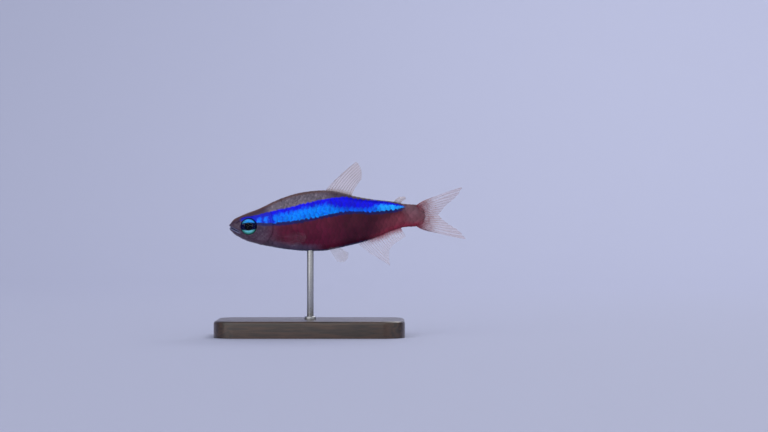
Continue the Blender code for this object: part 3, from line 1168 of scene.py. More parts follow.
@dataclass(frozen=True)
class IrisFinish:
    """Dark pupil, blue upper and teal lower arc, dark at the sides.

    Ramps of height and distance are in shares of the eye's radius.
    """

    black: str = "020310"
    dark: str = "0a0c3a"
    upper: str = "30a0ff"
    lower: str = "86f4ff"
    lower_edge: str = "369072"
    oval: tuple[float, float] = (0.80, 1 / 0.42)
    oval_edge: Ramp = (0.95, 1.25)
    streaks: Ramp = (0.3, 0.65, 0.70, 1.0)
    streak_circle: float = 3.0
    streak_scale: float = 4.0
    upper_height: Ramp = (0.12, 0.36)
    upper_rim: Ramp = (0.92, 0.80)
    upper_front: Ramp = (-0.1, -0.7, 0.0, 0.6)
    lower_height: Ramp = (-0.12, -0.36)
    lower_rim: Ramp = (0.98, 0.88)
    lower_fade: Ramp = (0.62, 0.92)
    pupil_edge: Ramp = (EYES.pupil + 0.03, EYES.pupil - 0.01)
    shine: float = 0.5

    def material(self) -> Material:
        """Builds the iris material, for both eyes.

        Returns:
            The material.
        """
        graph = MaterialGraph("iris")
        size = EYES.radius / FISH.length
        centre = (-EYES.centre[0] / size, 0, -EYES.centre[1] / size)
        x, _, z = fish_place(graph.place()).mapped((1 / size,) * 3, centre).split()
        away = graph.radius(x, z)
        angle = graph.math("ARCTAN2", z, x)
        ways = [graph.math(way, angle) * self.streak_circle for way in ("SINE", "COSINE")]
        spoke = graph.result("ShaderNodeCombineXYZ", dict(enumerate((*ways, away))))
        streaks = spoke.noise(self.streak_scale, detail=3.0).step(*self.streaks)
        glint = streaks * graph.radius(x * self.oval[0], z * self.oval[1]).step(*self.oval_edge)
        up = z.step(*self.upper_height) * glint * away.step(*self.upper_rim)
        down = z.step(*self.lower_height) * glint * away.step(*self.lower_rim)
        colour = graph.layers(
            self.dark,
            (up, graph.mix(x.step(*self.upper_front), self.upper, self.lower_edge)),
            (down, graph.mix(away.step(*self.lower_fade), self.lower, self.lower_edge)),
            (away.step(*self.pupil_edge), self.black),
        )
        return graph.dress(Base_Color=colour, Metallic=(up + down) * self.shine, Roughness=0.35, IOR=1.1)


@dataclass(frozen=True)
class CorneaFinish:
    """The clear wet surface of the eye."""

    tint: tuple[float, float, float, float] = (0.0, 0.0, 0.01, 1.0)
    alpha: float = 0.12

    def material(self) -> Material:
        """Builds the cornea's material, for both eyes."""
        sources = dict(Base_Color=self.tint, Roughness=0.04, Alpha=self.alpha, Coat_Weight=0.5, IOR=1.38)
        return MaterialGraph("cornea").dress(**sources)


@dataclass(frozen=True)
class FinFinish:
    """Clear membrane between pale rays, tinted from the root outwards.

    root_reach is how far the tint goes, and clear_root where a fin that starts in the
    flank comes in, both in metres from the root. root_front is the tint's share at the
    fin's front edge.
    """

    name: str
    root: str
    ray: str = "cfc3c4"
    membrane: str = "c9bfc6"
    root_reach: float = 1.0 * MM
    root_front: float = 1.0
    front_width: tuple[float, float] = (0.05, 0.5)
    root_wave: float = 0.4
    cloud_scale: float = 1400.0
    membrane_alpha: float = 0.09
    ray_alpha: float = 0.42
    root_alpha: float = 0.45
    clear_root: Ramp = ()
    joint_count: float = 150.0
    joint_depth: float = 0.01 * MM

    def material(self) -> Material:
        """Builds one fin's material.

        Returns:
            The material.
        """
        graph = MaterialGraph(self.name)
        across, along, away = graph.attribute("fin_place").split()
        ray = graph.attribute("fin_ray", "Fac")
        near = away + graph.place().noise(self.cloud_scale).spread(self.root_wave * self.root_reach)
        rooted = near.step(self.root_reach, 0.0) * across.step(*self.front_width, self.root_front, 1.0)
        alpha = graph.mix_numbers(ray, self.membrane_alpha, self.ray_alpha)
        alpha = graph.math("ADD", alpha, rooted * self.root_alpha, clamp=True)
        if self.clear_root:
            alpha = alpha * away.step(*self.clear_root)
        joints = graph.math("SINE", along * self.joint_count) * ray
        return graph.dress(
            Base_Color=graph.layers(self.membrane, (ray, self.ray), (rooted, self.root)), Alpha=alpha,
            Normal=graph.bump(joints, self.joint_depth, strength=0.5),
            Roughness=0.28, Coat_Weight=0.3, IOR=1.4,
        )


@dataclass(frozen=True)
class WoodFinish:
    """Dark stained wood under satin varnish."""

    dark: str = "1c120d"
    light: str = "4a3022"
    stretch: tuple[float, float, float] = (0.09, 1.0, 1.0)
    grain_scale: float = 900.0
    ring_count: float = 26.0
    ring_share: float = 0.25
    pore_scale: float = 4200.0
    pore_share: float = 0.8
    pore_depth: float = 0.03 * MM
    gloss: Ramp = (0.3, 0.7, 0.42, 0.30)

    def material(self) -> Material:
        """Builds the base's material.

        Returns:
            The material.
        """
        graph = MaterialGraph("stained_wood")
        place = graph.place().mapped(self.stretch)
        grain, pores = place.noise(self.grain_scale, detail=4.0), place.noise(self.pore_scale)
        rings = graph.math("SINE", grain * self.ring_count)
        share = rings.scaled(self.ring_share, pores * self.pore_share, clamp=True)
        return graph.dress(
            Base_Color=graph.mix(share, self.dark, self.light), Roughness=pores.step(*self.gloss),
            Normal=graph.bump(pores, self.pore_depth, strength=0.4), Coat_Weight=0.35, Coat_Roughness=0.25,
        )


@dataclass(frozen=True)
class SteelFinish:
    """Brushed steel, with fine marks round the rod."""

    steel: str = "a9a9ac"
    mark: str = "7d7d80"
    stretch: tuple[float, float, float] = (0.15, 0.15, 1.0)
    mark_scale: float = 16000.0
    marked: Ramp = (0.3, 0.7, 0.0, 0.25)
    gloss: Ramp = (0.3, 0.7, 0.24, 0.40)

    def material(self) -> Material:
        """Builds the rod's material.

        Returns:
            The material.
        """
        graph = MaterialGraph("brushed_steel")
        marks = graph.place().mapped(self.stretch).noise(self.mark_scale)
        colour = graph.mix(marks.step(*self.marked), self.steel, self.mark)
        return graph.dress(Base_Color=colour, Roughness=marks.step(*self.gloss), Metallic=1.0)


@dataclass(frozen=True)
class PaperFinish:
    """The plain pale sweep that the model stands on."""

    colour: str = "a8acc6"

    def material(self) -> Material:
        """Builds the floor's material."""
        return MaterialGraph("pale_sweep").dress(Base_Color=self.colour, Roughness=0.75)


@dataclass
class Body:
    """The one skin of head, trunk and tail stalk."""

    ring_points: int = 180
    nose_stations: int = 30
    head_stations: int = 160
    trunk_stations: int = 110
    head_end: float = 0.26
    relief_end: float = 0.3
    nearest: float = 1e-6
    nostrils: Nostrils = field(default_factory=Nostrils)

    def stations(self) -> np.ndarray:
        """Where the rings stand along the fish, close together on the head.

        Returns:
            Shares of the length, from 0.
        """
        nose = SHAPE.nose_rounding
        first = nose * (1 - np.cos(np.linspace(0, math.pi / 2, self.nose_stations + 1)))
        first[0] = 0.0
        second = np.linspace(nose, self.head_end, self.head_stations + 1)[1:]
        third = np.linspace(self.head_end, SHAPE.wedge_end, self.trunk_stations + 1)[1:]
        return np.concatenate([first, second, third])

    def relief(self, t: np.ndarray, turn: np.ndarray, h: np.ndarray) -> np.ndarray:
        """How far the skin stands off the bare trunk.

        Args:
            t: Shares of the length behind the snout.
            turn: Angles from the back, towards the right side.
            h: Heights over the axis, as shares.

        Returns:
            Heights in shares. Behind the head only the coat's depth is left out.
        """
        relief = GILLS.relief(t, turn) + MOUTH.relief(t, h)
        relief += EYES.relief(t, h) + self.nostrils.relief(t, h)
        return np.where(t < self.relief_end, relief, 0.0) - SHAPE.coat_depth

    def build(self) -> None:
        """Shapes a sphere into the skin, with mouth, nostrils, sockets and gill covers."""
        rings = self.stations()
        sphere = bpy.ops.mesh.primitive_uv_sphere_add
        skin = added("skin", sphere, segments=self.ring_points, ring_count=len(rings), radius=1)
        ball = coordinates(skin)
        row = np.arccos(np.clip(ball[:, 2], -1, 1)) / math.pi * len(rings)
        row = np.clip(np.rint(row).astype(int), 0, len(rings))
        t = np.append(rings, rings[-1])[row]
        turn = np.arctan2(ball[:, 1], ball[:, 0])
        pole = (row == 0) | (row == len(rings))
        local = SHAPE.surface(np.maximum(t, self.nearest), turn)
        local[pole, 1] = 0
        local[pole, 2] = (SHAPE.back(t[pole]) + SHAPE.belly(t[pole])) / 2 * (row[pole] > 0)
        move_vertices(skin, FISH.to_world(local))
        face_outwards(skin)
        normals = read_rows(skin.data.vertex_normals, "vector")
        relief = self.relief(t, turn, local[:, 2])
        move_vertices(skin, FISH.to_world(local) + normals * relief[:, None] * FISH.length)
        smooth(skin)
        finish_piece(skin, SkinFinish().material(), ("head", "torso", "tail_stalk"))


@dataclass
class ArcTable:
    """Angles from the back, by station and by arc from the side's middle.

    A range is its first value, its last one and how many there are.
    """

    station_range: tuple[float, float, int] = (0.1, 1.017, 460)
    arc_range: tuple[float, float, int] = (-0.34, 0.34, 700)
    turn_range: tuple[float, float, int] = (-0.6 * math.pi, 1.6 * math.pi, 900)
    kept_off_end: float = 1.001

    def __post_init__(self) -> None:
        """Measures the trunk's girth at each station."""
        self.stations, self.arcs = np.linspace(*self.station_range), np.linspace(*self.arc_range)
        self.turns = np.linspace(*self.turn_range)
        self.rows = np.array([self.measured(t) for t in self.stations])

    def measured(self, t: float) -> np.ndarray:
        """Measures the trunk's girth at a station.

        Args:
            t: The station.

        Returns:
            The angle at each arc.
        """
        points = SHAPE.surface(np.full_like(self.turns, t), self.turns)
        run = np.concatenate([[0], np.cumsum(np.linalg.norm(np.diff(points, axis=0), axis=1))])
        run = np.interp(math.pi / 2, self.turns, run) - run
        return np.interp(self.arcs, run[::-1], self.turns[::-1])

    def arc(self, turn: float) -> np.ndarray:
        """The arc up to an angle, at each station."""
        return np.array([np.interp(-turn, -row, self.arcs) for row in self.rows])

    def turn(self, t: np.ndarray, arc: np.ndarray) -> np.ndarray:
        """Reads the table.

        Args:
            t: Shares of the length behind the snout.
            arc: Arcs up from the side's middle, as shares.

        Returns:
            Angles from the back.
        """
        stations, arcs, rows = self.stations, self.arcs, self.rows
        last_x, last_y = len(stations) - self.kept_off_end, len(arcs) - self.kept_off_end
        x = np.clip((t - stations[0]) / (stations[1] - stations[0]), 0, last_x)
        y = np.clip((arc - arcs[0]) / (arcs[1] - arcs[0]), 0, last_y)
        i, j = x.astype(int), y.astype(int)
        x, y = x - i, y - j
        near = rows[i, j] * (1 - y) + rows[i, j + 1] * y
        far = rows[i + 1, j] * (1 - y) + rows[i + 1, j + 1] * y
        return near * (1 - x) + far * x


@dataclass
class Scales:
    """Overlapping thin scales from the gill covers to the tail."""

    spacing: float = 0.82 * MM / FISH.length
    row_height: float = 0.98 * MM / FISH.length
    length: float = 1.95
    half_height: float = 0.98
    widest: float = 0.40
    root_fullness: float = 0.75
    rear_fullness: float = 0.985
    first_root: float = GILLS.edge - 0.10
    last_root: float = 0.995
    last_place: float = 1.016
    most_columns: int = 200
    most_rows: int = 14
    narrowing: float = 0.45
    edge_room: float = 0.4
    under_cover: float = 0.9
    bare_middle: float = 0.65
    thickness: float = 0.022 * MM / FISH.length
    sunk: float = 0.030 * MM / FISH.length
    raised: float = 0.055 * MM / FISH.length
    lift_power: float = 0.8
    size_spread: float = 0.07
    lift_spread: float = 0.25
    columns: int = 6
    rows: int = 3
    crease: float = 60.0
    patch: tuple[float, float] = (0.003, 0.0015)
    sheet_start: float = 0.02
    sheet_size: tuple[float, float] = (0.94, 0.96)
    sheet_length: float = 1.05
    seed: int = 7
    table: ArcTable = field(default_factory=ArcTable)

    def template(self) -> tuple[np.ndarray, np.ndarray]:
        """One flat scale from a grid, with its wall.

        Returns:
            Rows of (along 0 to 1, across -1 to 1, up 0 or -1), and the faces.
        """
        grid = bpy.ops.mesh.primitive_grid_add
        scale = added("scale_template", grid, x_subdivisions=self.columns, y_subdivisions=self.rows, size=2)
        apply_modifier(scale, "SOLIDIFY", thickness=1.0, offset=-1.0)
        flat = coordinates(scale)
        faces = np.array([tuple(face.vertices) for face in scale.data.polygons], int)
        bpy.data.objects.remove(scale)
        along = np.sin((flat[:, 0] + 1) * math.pi / 4)
        rear = np.clip((along - self.widest) / (1 - self.widest), 0, 1)
        swelling = self.root_fullness + (1 - self.root_fullness) * ease(along / self.widest)
        fullness = np.where(along < self.widest, swelling, 1.0)
        shape = fullness * np.sqrt(1 - (self.rear_fullness * rear) ** 2)
        return np.stack([along, flat[:, 1] * shape, flat[:, 2]], -1), faces

    def roots(self) -> np.ndarray:
        """Where the scales of the right side and both midlines are rooted.

        Returns:
            Rows of (t, arc, height of the row there, 1 on a midline).
        """
        up, down = self.table.arc(0), self.table.arc(math.pi)
        deepest = (up - down).max()
        places = self.first_root + np.arange(self.most_columns) * self.spacing / 2
        found = []
        for column, t in enumerate(places[places <= self.last_root]):
            top, bottom = (np.interp(t, self.table.stations, edge) for edge in (up, down))
            height = self.row_height * ((top - bottom) / deepest) ** self.narrowing
            for k in range(-self.most_rows, self.most_rows + 1):
                arc, room = k * height, self.edge_room * height
                if (k + column) % 2 == 0 and bottom + room < arc < top - room:
                    found.append((t, arc, height, 0.0))
            if column % 2:
                found += [(t, top, height, 1.0), (t, bottom, height, 1.0)]
        found = np.array(found)
        free = GILLS.edge_at(self.table.turn(found[:, 0], found[:, 1])) - self.under_cover * self.spacing
        return found[found[:, 0] > free]

    def build(self) -> None:
        """Sets every scale on the skin and joins them into one coat."""
        rng = np.random.default_rng(self.seed)
        flat, faces = self.template()
        roots = self.roots()
        paired = roots[roots[:, 3] == 0]
        root = np.concatenate([roots, paired])
        sign = np.repeat((1.0, -1.0), (len(roots), len(paired)))
        count, size = len(root), len(flat)
        vary = 1 + self.size_spread * rng.uniform(-1, 1, (count, 2))
        chance = rng.random(count)
        t = root[:, :1] + flat[None, :, 0] * self.length * self.spacing * vary[:, :1]
        t = np.minimum(t, self.last_place).ravel()
        arc = root[:, 1:2] + flat[None, :, 1] * self.half_height * root[:, 2:3] * vary[:, 1:]
        angle = self.table.turn(t, arc.ravel())
        lift = -self.sunk + (self.raised + self.sunk) * flat[:, 0] ** self.lift_power
        lift = (lift * (1 + self.lift_spread * rng.uniform(-1, 1, (count, 1)))).ravel()
        lift = lift + np.tile(flat[:, 2], count) * self.thickness - SHAPE.coat_depth
        local = SHAPE.surface(t, angle) + SHAPE.outward(t, angle) * lift[:, None]
        local[:, 1] *= np.repeat(sign, size)
        joined = [(faces if s > 0 else faces[:, ::-1]) + i * size for i, s in enumerate(sign)]
        mesh = bpy.data.meshes.new("scales")
        mesh.from_pydata(FISH.to_world(local).tolist(), [], np.concatenate(joined).tolist())
        coat = linked("scales", mesh)
        face_outwards(coat)
        smooth(coat, self.crease)
        store(coat, "scale_root", np.repeat(FISH.to_world(self.middles(root, sign)), size, axis=0))
        lie = [np.tile(flat[:, 0], count), np.tile(flat[:, 1], count), np.repeat(chance, size)]
        store(coat, "scale_place", np.stack(lie, -1))
        self.unwrap(coat, root, sign, flat)
        finish_piece(coat, ScaleFinish().material())
        log.info("scales: %d of them", count)

    def middles(self, root: np.ndarray, sign: np.ndarray) -> np.ndarray:
        """The middle of each scale's bare part.

        Args:
            root: Rows as roots() gives them.
            sign: 1 for a scale of the right side, -1 for the left.

        Returns:
            Rows of (t, b, h) shares.
        """
        t = np.minimum(root[:, 0] + self.bare_middle * self.length * self.spacing, self.last_place)
        local = SHAPE.surface(t, self.table.turn(t, root[:, 1]))
        local[:, 1] *= sign
        return local

    def unwrap(self, coat: Piece, root: np.ndarray, sign: np.ndarray, flat: np.ndarray) -> None:
        """Gives each scale a small patch at its root's place on an unwrap of the skin.

        Args:
            coat: The scales.
            root: Rows as roots() gives them.
            sign: 1 for a scale of the right side, -1 for the left.
            flat: The flat scale's points.
        """
        turn = self.table.turn(root[:, 0], root[:, 1])
        across = np.where(sign > 0, turn, 2 * math.pi - turn) / (2 * math.pi)
        middle = np.stack([root[:, 0], np.mod(across, 1.0)], -1) * self.sheet_size
        middle = self.sheet_start + middle / (self.sheet_length, 1.0)
        offset = (flat[:, :2] - (0.5, 0.0)) * self.patch
        places = (middle[:, None, :] + offset[None]).reshape(-1, 2)
        layer = coat.data.uv_layers.new(name="OFBake")
        corner = np.empty(len(coat.data.loops), np.int32)
        coat.data.loops.foreach_get("vertex_index", corner)
        write_values(layer.data, "uv", places[corner])


@dataclass
class Eye:
    """One eye: a globe with its iris and pupil, under a clear cornea."""

    side: Side
    fullness: float = 4.0
    iris_dip: float = 0.07 * MM
    iris_step: float = 0.12
    iris_end: float = 0.97
    cornea_lift: float = 0.03 * MM
    segments: int = 72
    rings: int = 48

    def lens(self, name: str, lift: float, dip: float) -> Piece:
        """Shapes a sphere into a flattened globe.

        Args:
            name: The piece's name.
            lift: How far it stands out of the lens's plain shape.
            dip: How far the iris lies below that, about the pupil.

        Returns:
            The globe.
        """
        sphere = bpy.ops.mesh.primitive_uv_sphere_add
        piece = added(name, sphere, segments=self.segments, ring_count=self.rings, radius=1)
        ball = coordinates(piece)
        flat, high, power = np.hypot(ball[:, 0], ball[:, 1]), ball[:, 2], self.fullness
        full = np.sign(high) * (1 - np.minimum(flat, 1) ** power) ** (1 / power)
        outward = np.where(high > 0, full, high) * EYES.depth + (high > 0) * lift * (1 - flat**power)
        risen = ease((flat - EYES.pupil) / self.iris_step)
        in_iris = risen * ease((self.iris_end - flat) / self.iris_step) * (high > 0)
        outward -= dip * in_iris
        way = self.side.value
        local = np.stack([ball[:, 0] * EYES.radius, way * outward, ball[:, 1] * EYES.radius], -1)
        turned = local @ np.array(Matrix.Rotation(way * EYES.forward, 3, "Z")).T
        move_vertices(piece, FISH.to_world(EYES.middle(self.side) + turned / FISH.length))
        face_outwards(piece)
        smooth(piece)
        return piece

    def build(self, iris: Material, cornea: Material) -> None:
        """Builds the globe and the cornea.

        Args:
            iris: The globe's material.
            cornea: The cornea's material.
        """
        node = f"eye_{self.side.word}"
        finish_piece(self.lens(f"{node}_globe", 0.0, self.iris_dip), iris, (node,))
        finish_piece(self.lens(f"{node}_cornea", self.cornea_lift, 0.0), cornea)


@dataclass
class Fin:
    """A thin sheet with raised, branched rays, shaped by a subclass.

    A subclass gives the sheet's middle for u, a share across the rays, and v, one along them.
    """

    name: str
    rays: int
    finish: FinFinish
    nodes: tuple[str, ...]
    bow: float = 0.0
    thickness: tuple[float, float] = (0.22 * MM, 0.05 * MM)
    thinning: float = 2.5
    ray_height: tuple[float, float] = (0.10 * MM, 0.035 * MM)
    ray_width: float = 0.13
    plain_rays: int = 2
    branch_at: float = 0.45
    branch_reach: float = 0.45
    branch_spread: float = 0.20
    notch: float = 0.014
    notch_power: float = 1.5
    probe: float = 1e-3
    shortest: float = 1e-12
    crease: float = 70.0
    columns_per_ray: int = 12
    steps: int = 30

    def centre(self, u: np.ndarray, v: np.ndarray) -> np.ndarray:
        """The sheet's middle as (t, b, h) shares."""
        raise NotImplementedError

    def bowed(
        self, root: np.ndarray, tip: np.ndarray, v: np.ndarray, b: np.ndarray, lean: np.ndarray
    ) -> np.ndarray:
        """Places along rays that bow forwards in the fish's middle plane.

        Args:
            root: The rays' roots, as rows of (t, h).
            tip: Their tips.
            v: Shares along them.
            b: How far to the side each place lies.
            lean: How much of the bow each ray has.

        Returns:
            Rows of (t, b, h) shares.
        """
        ray = tip - root
        forward = np.stack([-ray[:, 1], ray[:, 0]], -1) * lean[:, None]
        point = root + ray * v[:, None] + forward * (self.bow * 4 * v * (1 - v))[:, None]
        return np.stack([point[:, 0], b, point[:, 1]], -1)

    def ridge(self, u: np.ndarray, v: np.ndarray) -> np.ndarray:
        """How strongly a ray stands out.

        Args:
            u: Shares across the rays.
            v: Shares along them.

        Returns:
            Numbers from 0 between rays to 1 on one.
        """
        place = u * (self.rays - 1)
        stem = np.rint(place)
        branched = (stem >= self.plain_rays) & (v > 0)
        spread = self.branch_spread * ease((v - self.branch_at) / self.branch_reach) * branched
        return bell((np.abs(place - stem) - spread) / self.ray_width)

    def half_thickness(self, v: np.ndarray, ray: np.ndarray) -> np.ndarray:
        """Half the sheet's thickness with its rays.

        Args:
            v: Shares along the rays.
            ray: What ridge() gives.

        Returns:
            Metres.
        """
        thick, thin = self.thickness
        high, low = self.ray_height
        half = (thick + (thin - thick) * np.minimum(v * self.thinning, 1)) / 2
        return half + (high + (low - high) * v) * ray

    def build(self) -> None:
        """Shapes a thin slab into the fin."""
        gaps = self.rays - 1
        sizes = dict(x_subdivisions=self.columns_per_ray * gaps, y_subdivisions=self.steps, size=1)
        piece = added(self.name, bpy.ops.mesh.primitive_grid_add, **sizes)
        apply_modifier(piece, "SOLIDIFY", thickness=1.0, offset=0.0)
        slab = coordinates(piece)
        u, share = slab[:, 0] + 0.5, slab[:, 1] + 0.5
        v = share * (1 - self.notch * np.abs(np.sin(np.pi * u * gaps)) ** self.notch_power)
        small = self.probe
        middle = self.centre(u, v)
        across = self.centre(np.minimum(u + small, 1), v) - self.centre(np.maximum(u - small, 0), v)
        along = self.centre(u, v + small) - self.centre(u, v - small)
        normal = np.cross(along, across)
        normal /= np.maximum(np.linalg.norm(normal, axis=1, keepdims=True), self.shortest)
        ray = self.ridge(u, v)
        out = self.half_thickness(v, ray) * np.sign(slab[:, 2]) / FISH.length
        move_vertices(piece, FISH.to_world(middle + normal * out[:, None]))
        face_outwards(piece)
        smooth(piece, self.crease)
        from_root = np.linalg.norm(middle - self.centre(u, np.zeros_like(v)), axis=1) * FISH.length
        store(piece, "fin_place", np.stack([u, share, from_root], -1))
        store(piece, "fin_ray", ray)
        finish_piece(piece, self.finish.material(), self.nodes)


@dataclass
class MedianFin(Fin):
    """A fin in the fish's middle plane, on its back or under its belly."""

    span: tuple[float, float] = (0.5, 0.6)
    outline: SmoothLine = SHAPE.back
    side: int = 1
    tips: Points = ()
    sink: float = 0.012
    ripple: float = 0.10 * MM / FISH.length
    ripple_count: float = 7.0

    def centre(self, u: np.ndarray, v: np.ndarray) -> np.ndarray:
        """The sheet's middle, from a sunk root to the tips.

        Args:
            u: Shares across the rays.
            v: Shares along them.

        Returns:
            Rows of (t, b, h) shares.
        """
        t = self.span[0] + (self.span[1] - self.span[0]) * u
        root = np.stack([t, self.outline(t) - self.side * self.sink], -1)
        b = self.ripple * v * v * np.sin(u * self.ripple_count)
        return self.bowed(root, through(self.tips, u), v, b, np.ones_like(u))


@dataclass
class TailFin(Fin):
    """The whole forked tail fin, its two lobes joined at the fork."""

    upper: Points = (
        (0.0, 1.080, 0.093), (0.14, 1.245, 0.140), (0.35, 1.215, 0.098), (0.65, 1.150, 0.046),
        (1.0, 1.108, 0.0),
    )
    lower: Points = (
        (0.0, 1.080, -0.090), (0.14, 1.248, -0.136), (0.35, 1.217, -0.095), (0.65, 1.150, -0.044),
        (1.0, 1.108, 0.0),
    )
    root_t: float = 0.982
    root_half: float = 0.050
    sway: float = 0.9 * MM / FISH.length
    ripple: float = 0.002
    ripple_count: float = 9.0

    def centre(self, u: np.ndarray, v: np.ndarray) -> np.ndarray:
        """The sheet's middle: u runs from the upper edge to the lower one.

        Args:
            u: Shares across the rays.
            v: Shares along them.

        Returns:
            Rows of (t, b, h) shares.
        """
        on_top = u < 0.5
        w = np.where(on_top, 2 * u, 2 * (1 - u))
        tip = np.where(on_top[:, None], through(self.upper, w), through(self.lower, w))
        root = np.stack([np.full_like(u, self.root_t), self.root_half * (1 - 2 * u)], -1)
        b = self.sway * np.clip(v, 0, 1) ** 2 + self.ripple * v * v * np.sin(u * self.ripple_count)
        return self.bowed(root, tip, v, b, 1 - 2 * u)

    def ridge(self, u: np.ndarray, v: np.ndarray) -> np.ndarray:
        """Rays as on any fin, with the outer ones of both lobes unbranched."""
        return np.where(u < 0.5, super().ridge(u, v), super().ridge(1 - u, v))


@dataclass
class PairedFin(Fin):
    """A pectoral or pelvic fin, given for the right side.

    Its place is a share of the length and degrees from the back. Its lengths are the first,
    the longest and the last ray's.
    """

    side: Side = Side.RIGHT
    place: tuple[float, float] = (0.252, 126)
    root_length: float = 1.3 * MM
    root_way: tuple[float, float, float] = (0.25, 0.10, -1.0)
    ray_way: tuple[float, float, float] = (0.93, 0.40, -0.13)
    lengths: tuple[float, float, float] = (4.4 * MM, 5.8 * MM, 2.8 * MM)
    half_fan: float = math.radians(13)
    longest_at: float = 0.25
    bend: float = 0.30 * MM
    sink: float = 0.35 * MM
    columns_per_ray: int = 10
    steps: int = 22

    def centre(self, u: np.ndarray, v: np.ndarray) -> np.ndarray:
        """The sheet's middle, from a root sunk in the flank.

        Args:
            u: Shares across the rays.
            v: Shares along them.

        Returns:
            Rows of (t, b, h) shares.
        """
        spot = np.array(self.place[0]), np.array(math.radians(self.place[1]))
        outward = SHAPE.outward(*spot)
        out_way = np.array(self.ray_way) / np.linalg.norm(self.ray_way)
        root_way = np.array(self.root_way) / np.linalg.norm(self.root_way)
        across = root_way - out_way * (root_way @ out_way)
        across /= np.linalg.norm(across)
        normal = np.cross(across, out_way)
        normal *= np.sign(normal @ outward)
        reach = SmoothLine(tuple(zip((0.0, self.longest_at, 1.0), self.lengths)))(u)
        angle = self.half_fan * (2 * u - 1)
        along = np.outer(np.cos(angle), out_way) + np.outer(np.sin(angle), across)
        low = np.outer(self.root_length * (u - 0.5), root_way)
        start = -self.sink / (out_way @ outward)
        line = low + along * (start + (reach - start) * v)[:, None]
        line -= normal * (self.bend * v * v)[:, None]
        local = SHAPE.surface(*spot) + line / FISH.length
        local[:, 1] *= self.side.value
        return local


@dataclass
class Stand:
    """The base, the rod and the collar between them."""

    corner: float = 4 * MM
    corner_steps: int = 20
    edge: float = 0.55 * MM
    edge_steps: int = 5
    rod_sink: float = 0.5 * MM
    rod_foot: float = 2 * MM
    rod_rounding: float = 0.1 * MM
    collar_radius: float = 1.05 * MM
    collar_height: float = 0.55 * MM
    collar_foot: float = 0.2 * MM
    collar_rounding: float = 0.18 * MM
    rounding_steps: int = 3
    turned_points: int = 64
    crease: float = 35.0
    slack: float = 1e-6

    @staticmethod
    def bevel(piece: Piece, wanted: Callable[[Vector, Vector], bool], width: float, steps: int) -> None:
        """Rounds the edges that a rule picks.

        Args:
            piece: The piece to work on.
            wanted: Says of an edge's two ends whether it is rounded.
            width: How wide the rounding is.
            steps: How many faces it gets.
        """
        with editing(piece):
            bpy.ops.mesh.select_mode(type="EDGE")
            bpy.ops.mesh.select_all(action="DESELECT")
            shape = bmesh.from_edit_mesh(piece.data)
            for edge in shape.edges:
                if wanted(edge.verts[0].co, edge.verts[1].co):
                    edge.select_set(True)
            bmesh.update_edit_mesh(piece.data)
            bpy.ops.mesh.bevel(offset=width, segments=steps, affect="EDGES")

    def base(self) -> None:
        """A slab with rounded corners and a softened rim, shaped from a cube."""
        low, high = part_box("stand_base")
        size, middle = high - low, (high + low) / 2
        piece = added("stand_base_wood", bpy.ops.mesh.primitive_cube_add, size=1, location=middle)
        piece.scale = size
        bpy.ops.object.transform_apply(location=True, rotation=False, scale=True)
        self.bevel(piece, lambda a, b: abs(a.z - b.z) > size.z / 2, self.corner, self.corner_steps)
        top = high.z - self.slack
        self.bevel(piece, lambda a, b: min(a.z, b.z) > top, self.edge, self.edge_steps)
        smooth(piece, self.crease)
        finish_piece(piece, WoodFinish().material(), ("stand_base",))

    def turned(self, name: str, radius: float, low: float, high: float, rounding: float) -> Piece:
        """A short upright bar with rounded ends, on the rod's axis.

        Args:
            name: The piece's name.
            radius: Its radius.
            low: Where it starts.
            high: Where it ends.
            rounding: How wide the rounding of its ends is.

        Returns:
            The bar.
        """
        axis_low, axis_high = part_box("stand_rod")
        middle = (axis_low + axis_high) / 2
        sizes = dict(vertices=self.turned_points, radius=radius, depth=high - low)
        place = (middle.x, middle.y, (low + high) / 2)
        piece = added(name, bpy.ops.mesh.primitive_cylinder_add, location=place, **sizes)
        bpy.ops.object.transform_apply(location=True, rotation=False, scale=True)
        steps = self.rounding_steps
        apply_modifier(piece, "BEVEL", width=rounding, segments=steps, limit_method="ANGLE")
        smooth(piece, self.crease)
        return piece

    def build(self) -> None:
        """Builds base, rod and collar."""
        self.base()
        low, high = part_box("stand_rod")
        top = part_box("stand_base")[1].z
        steel = SteelFinish().material()
        ends = top - self.rod_foot, high.z + GAP + self.rod_sink
        rod = self.turned("stand_rod_steel", (high.x - low.x) / 2, *ends, self.rod_rounding)
        finish_piece(rod, steel, ("stand_rod",))
        ends = top - self.collar_foot, top + self.collar_height
        collar = self.turned("stand_collar", self.collar_radius, *ends, self.collar_rounding)
        finish_piece(collar, steel)


@dataclass(frozen=True)
class Lamp:
    """A square soft light aimed at the fish."""

    name: str
    place: tuple[float, float, float]
    size: float
    watts: float
    colour: tuple[float, float, float] = (1.0, 1.0, 1.0)
    aim: tuple[float, float, float] = (0.0, 0.0, 0.02)

    def build(self) -> None:
        """Hangs the light."""
        data = bpy.data.lights.new(self.name, "AREA")
        data.energy, data.size, data.color = self.watts, self.size, self.colour
        lamp = linked(self.name, data)
        lamp.location = self.place
        lamp.rotation_euler = (Vector(self.aim) - Vector(self.place)).to_track_quat("-Z", "Y").to_euler()


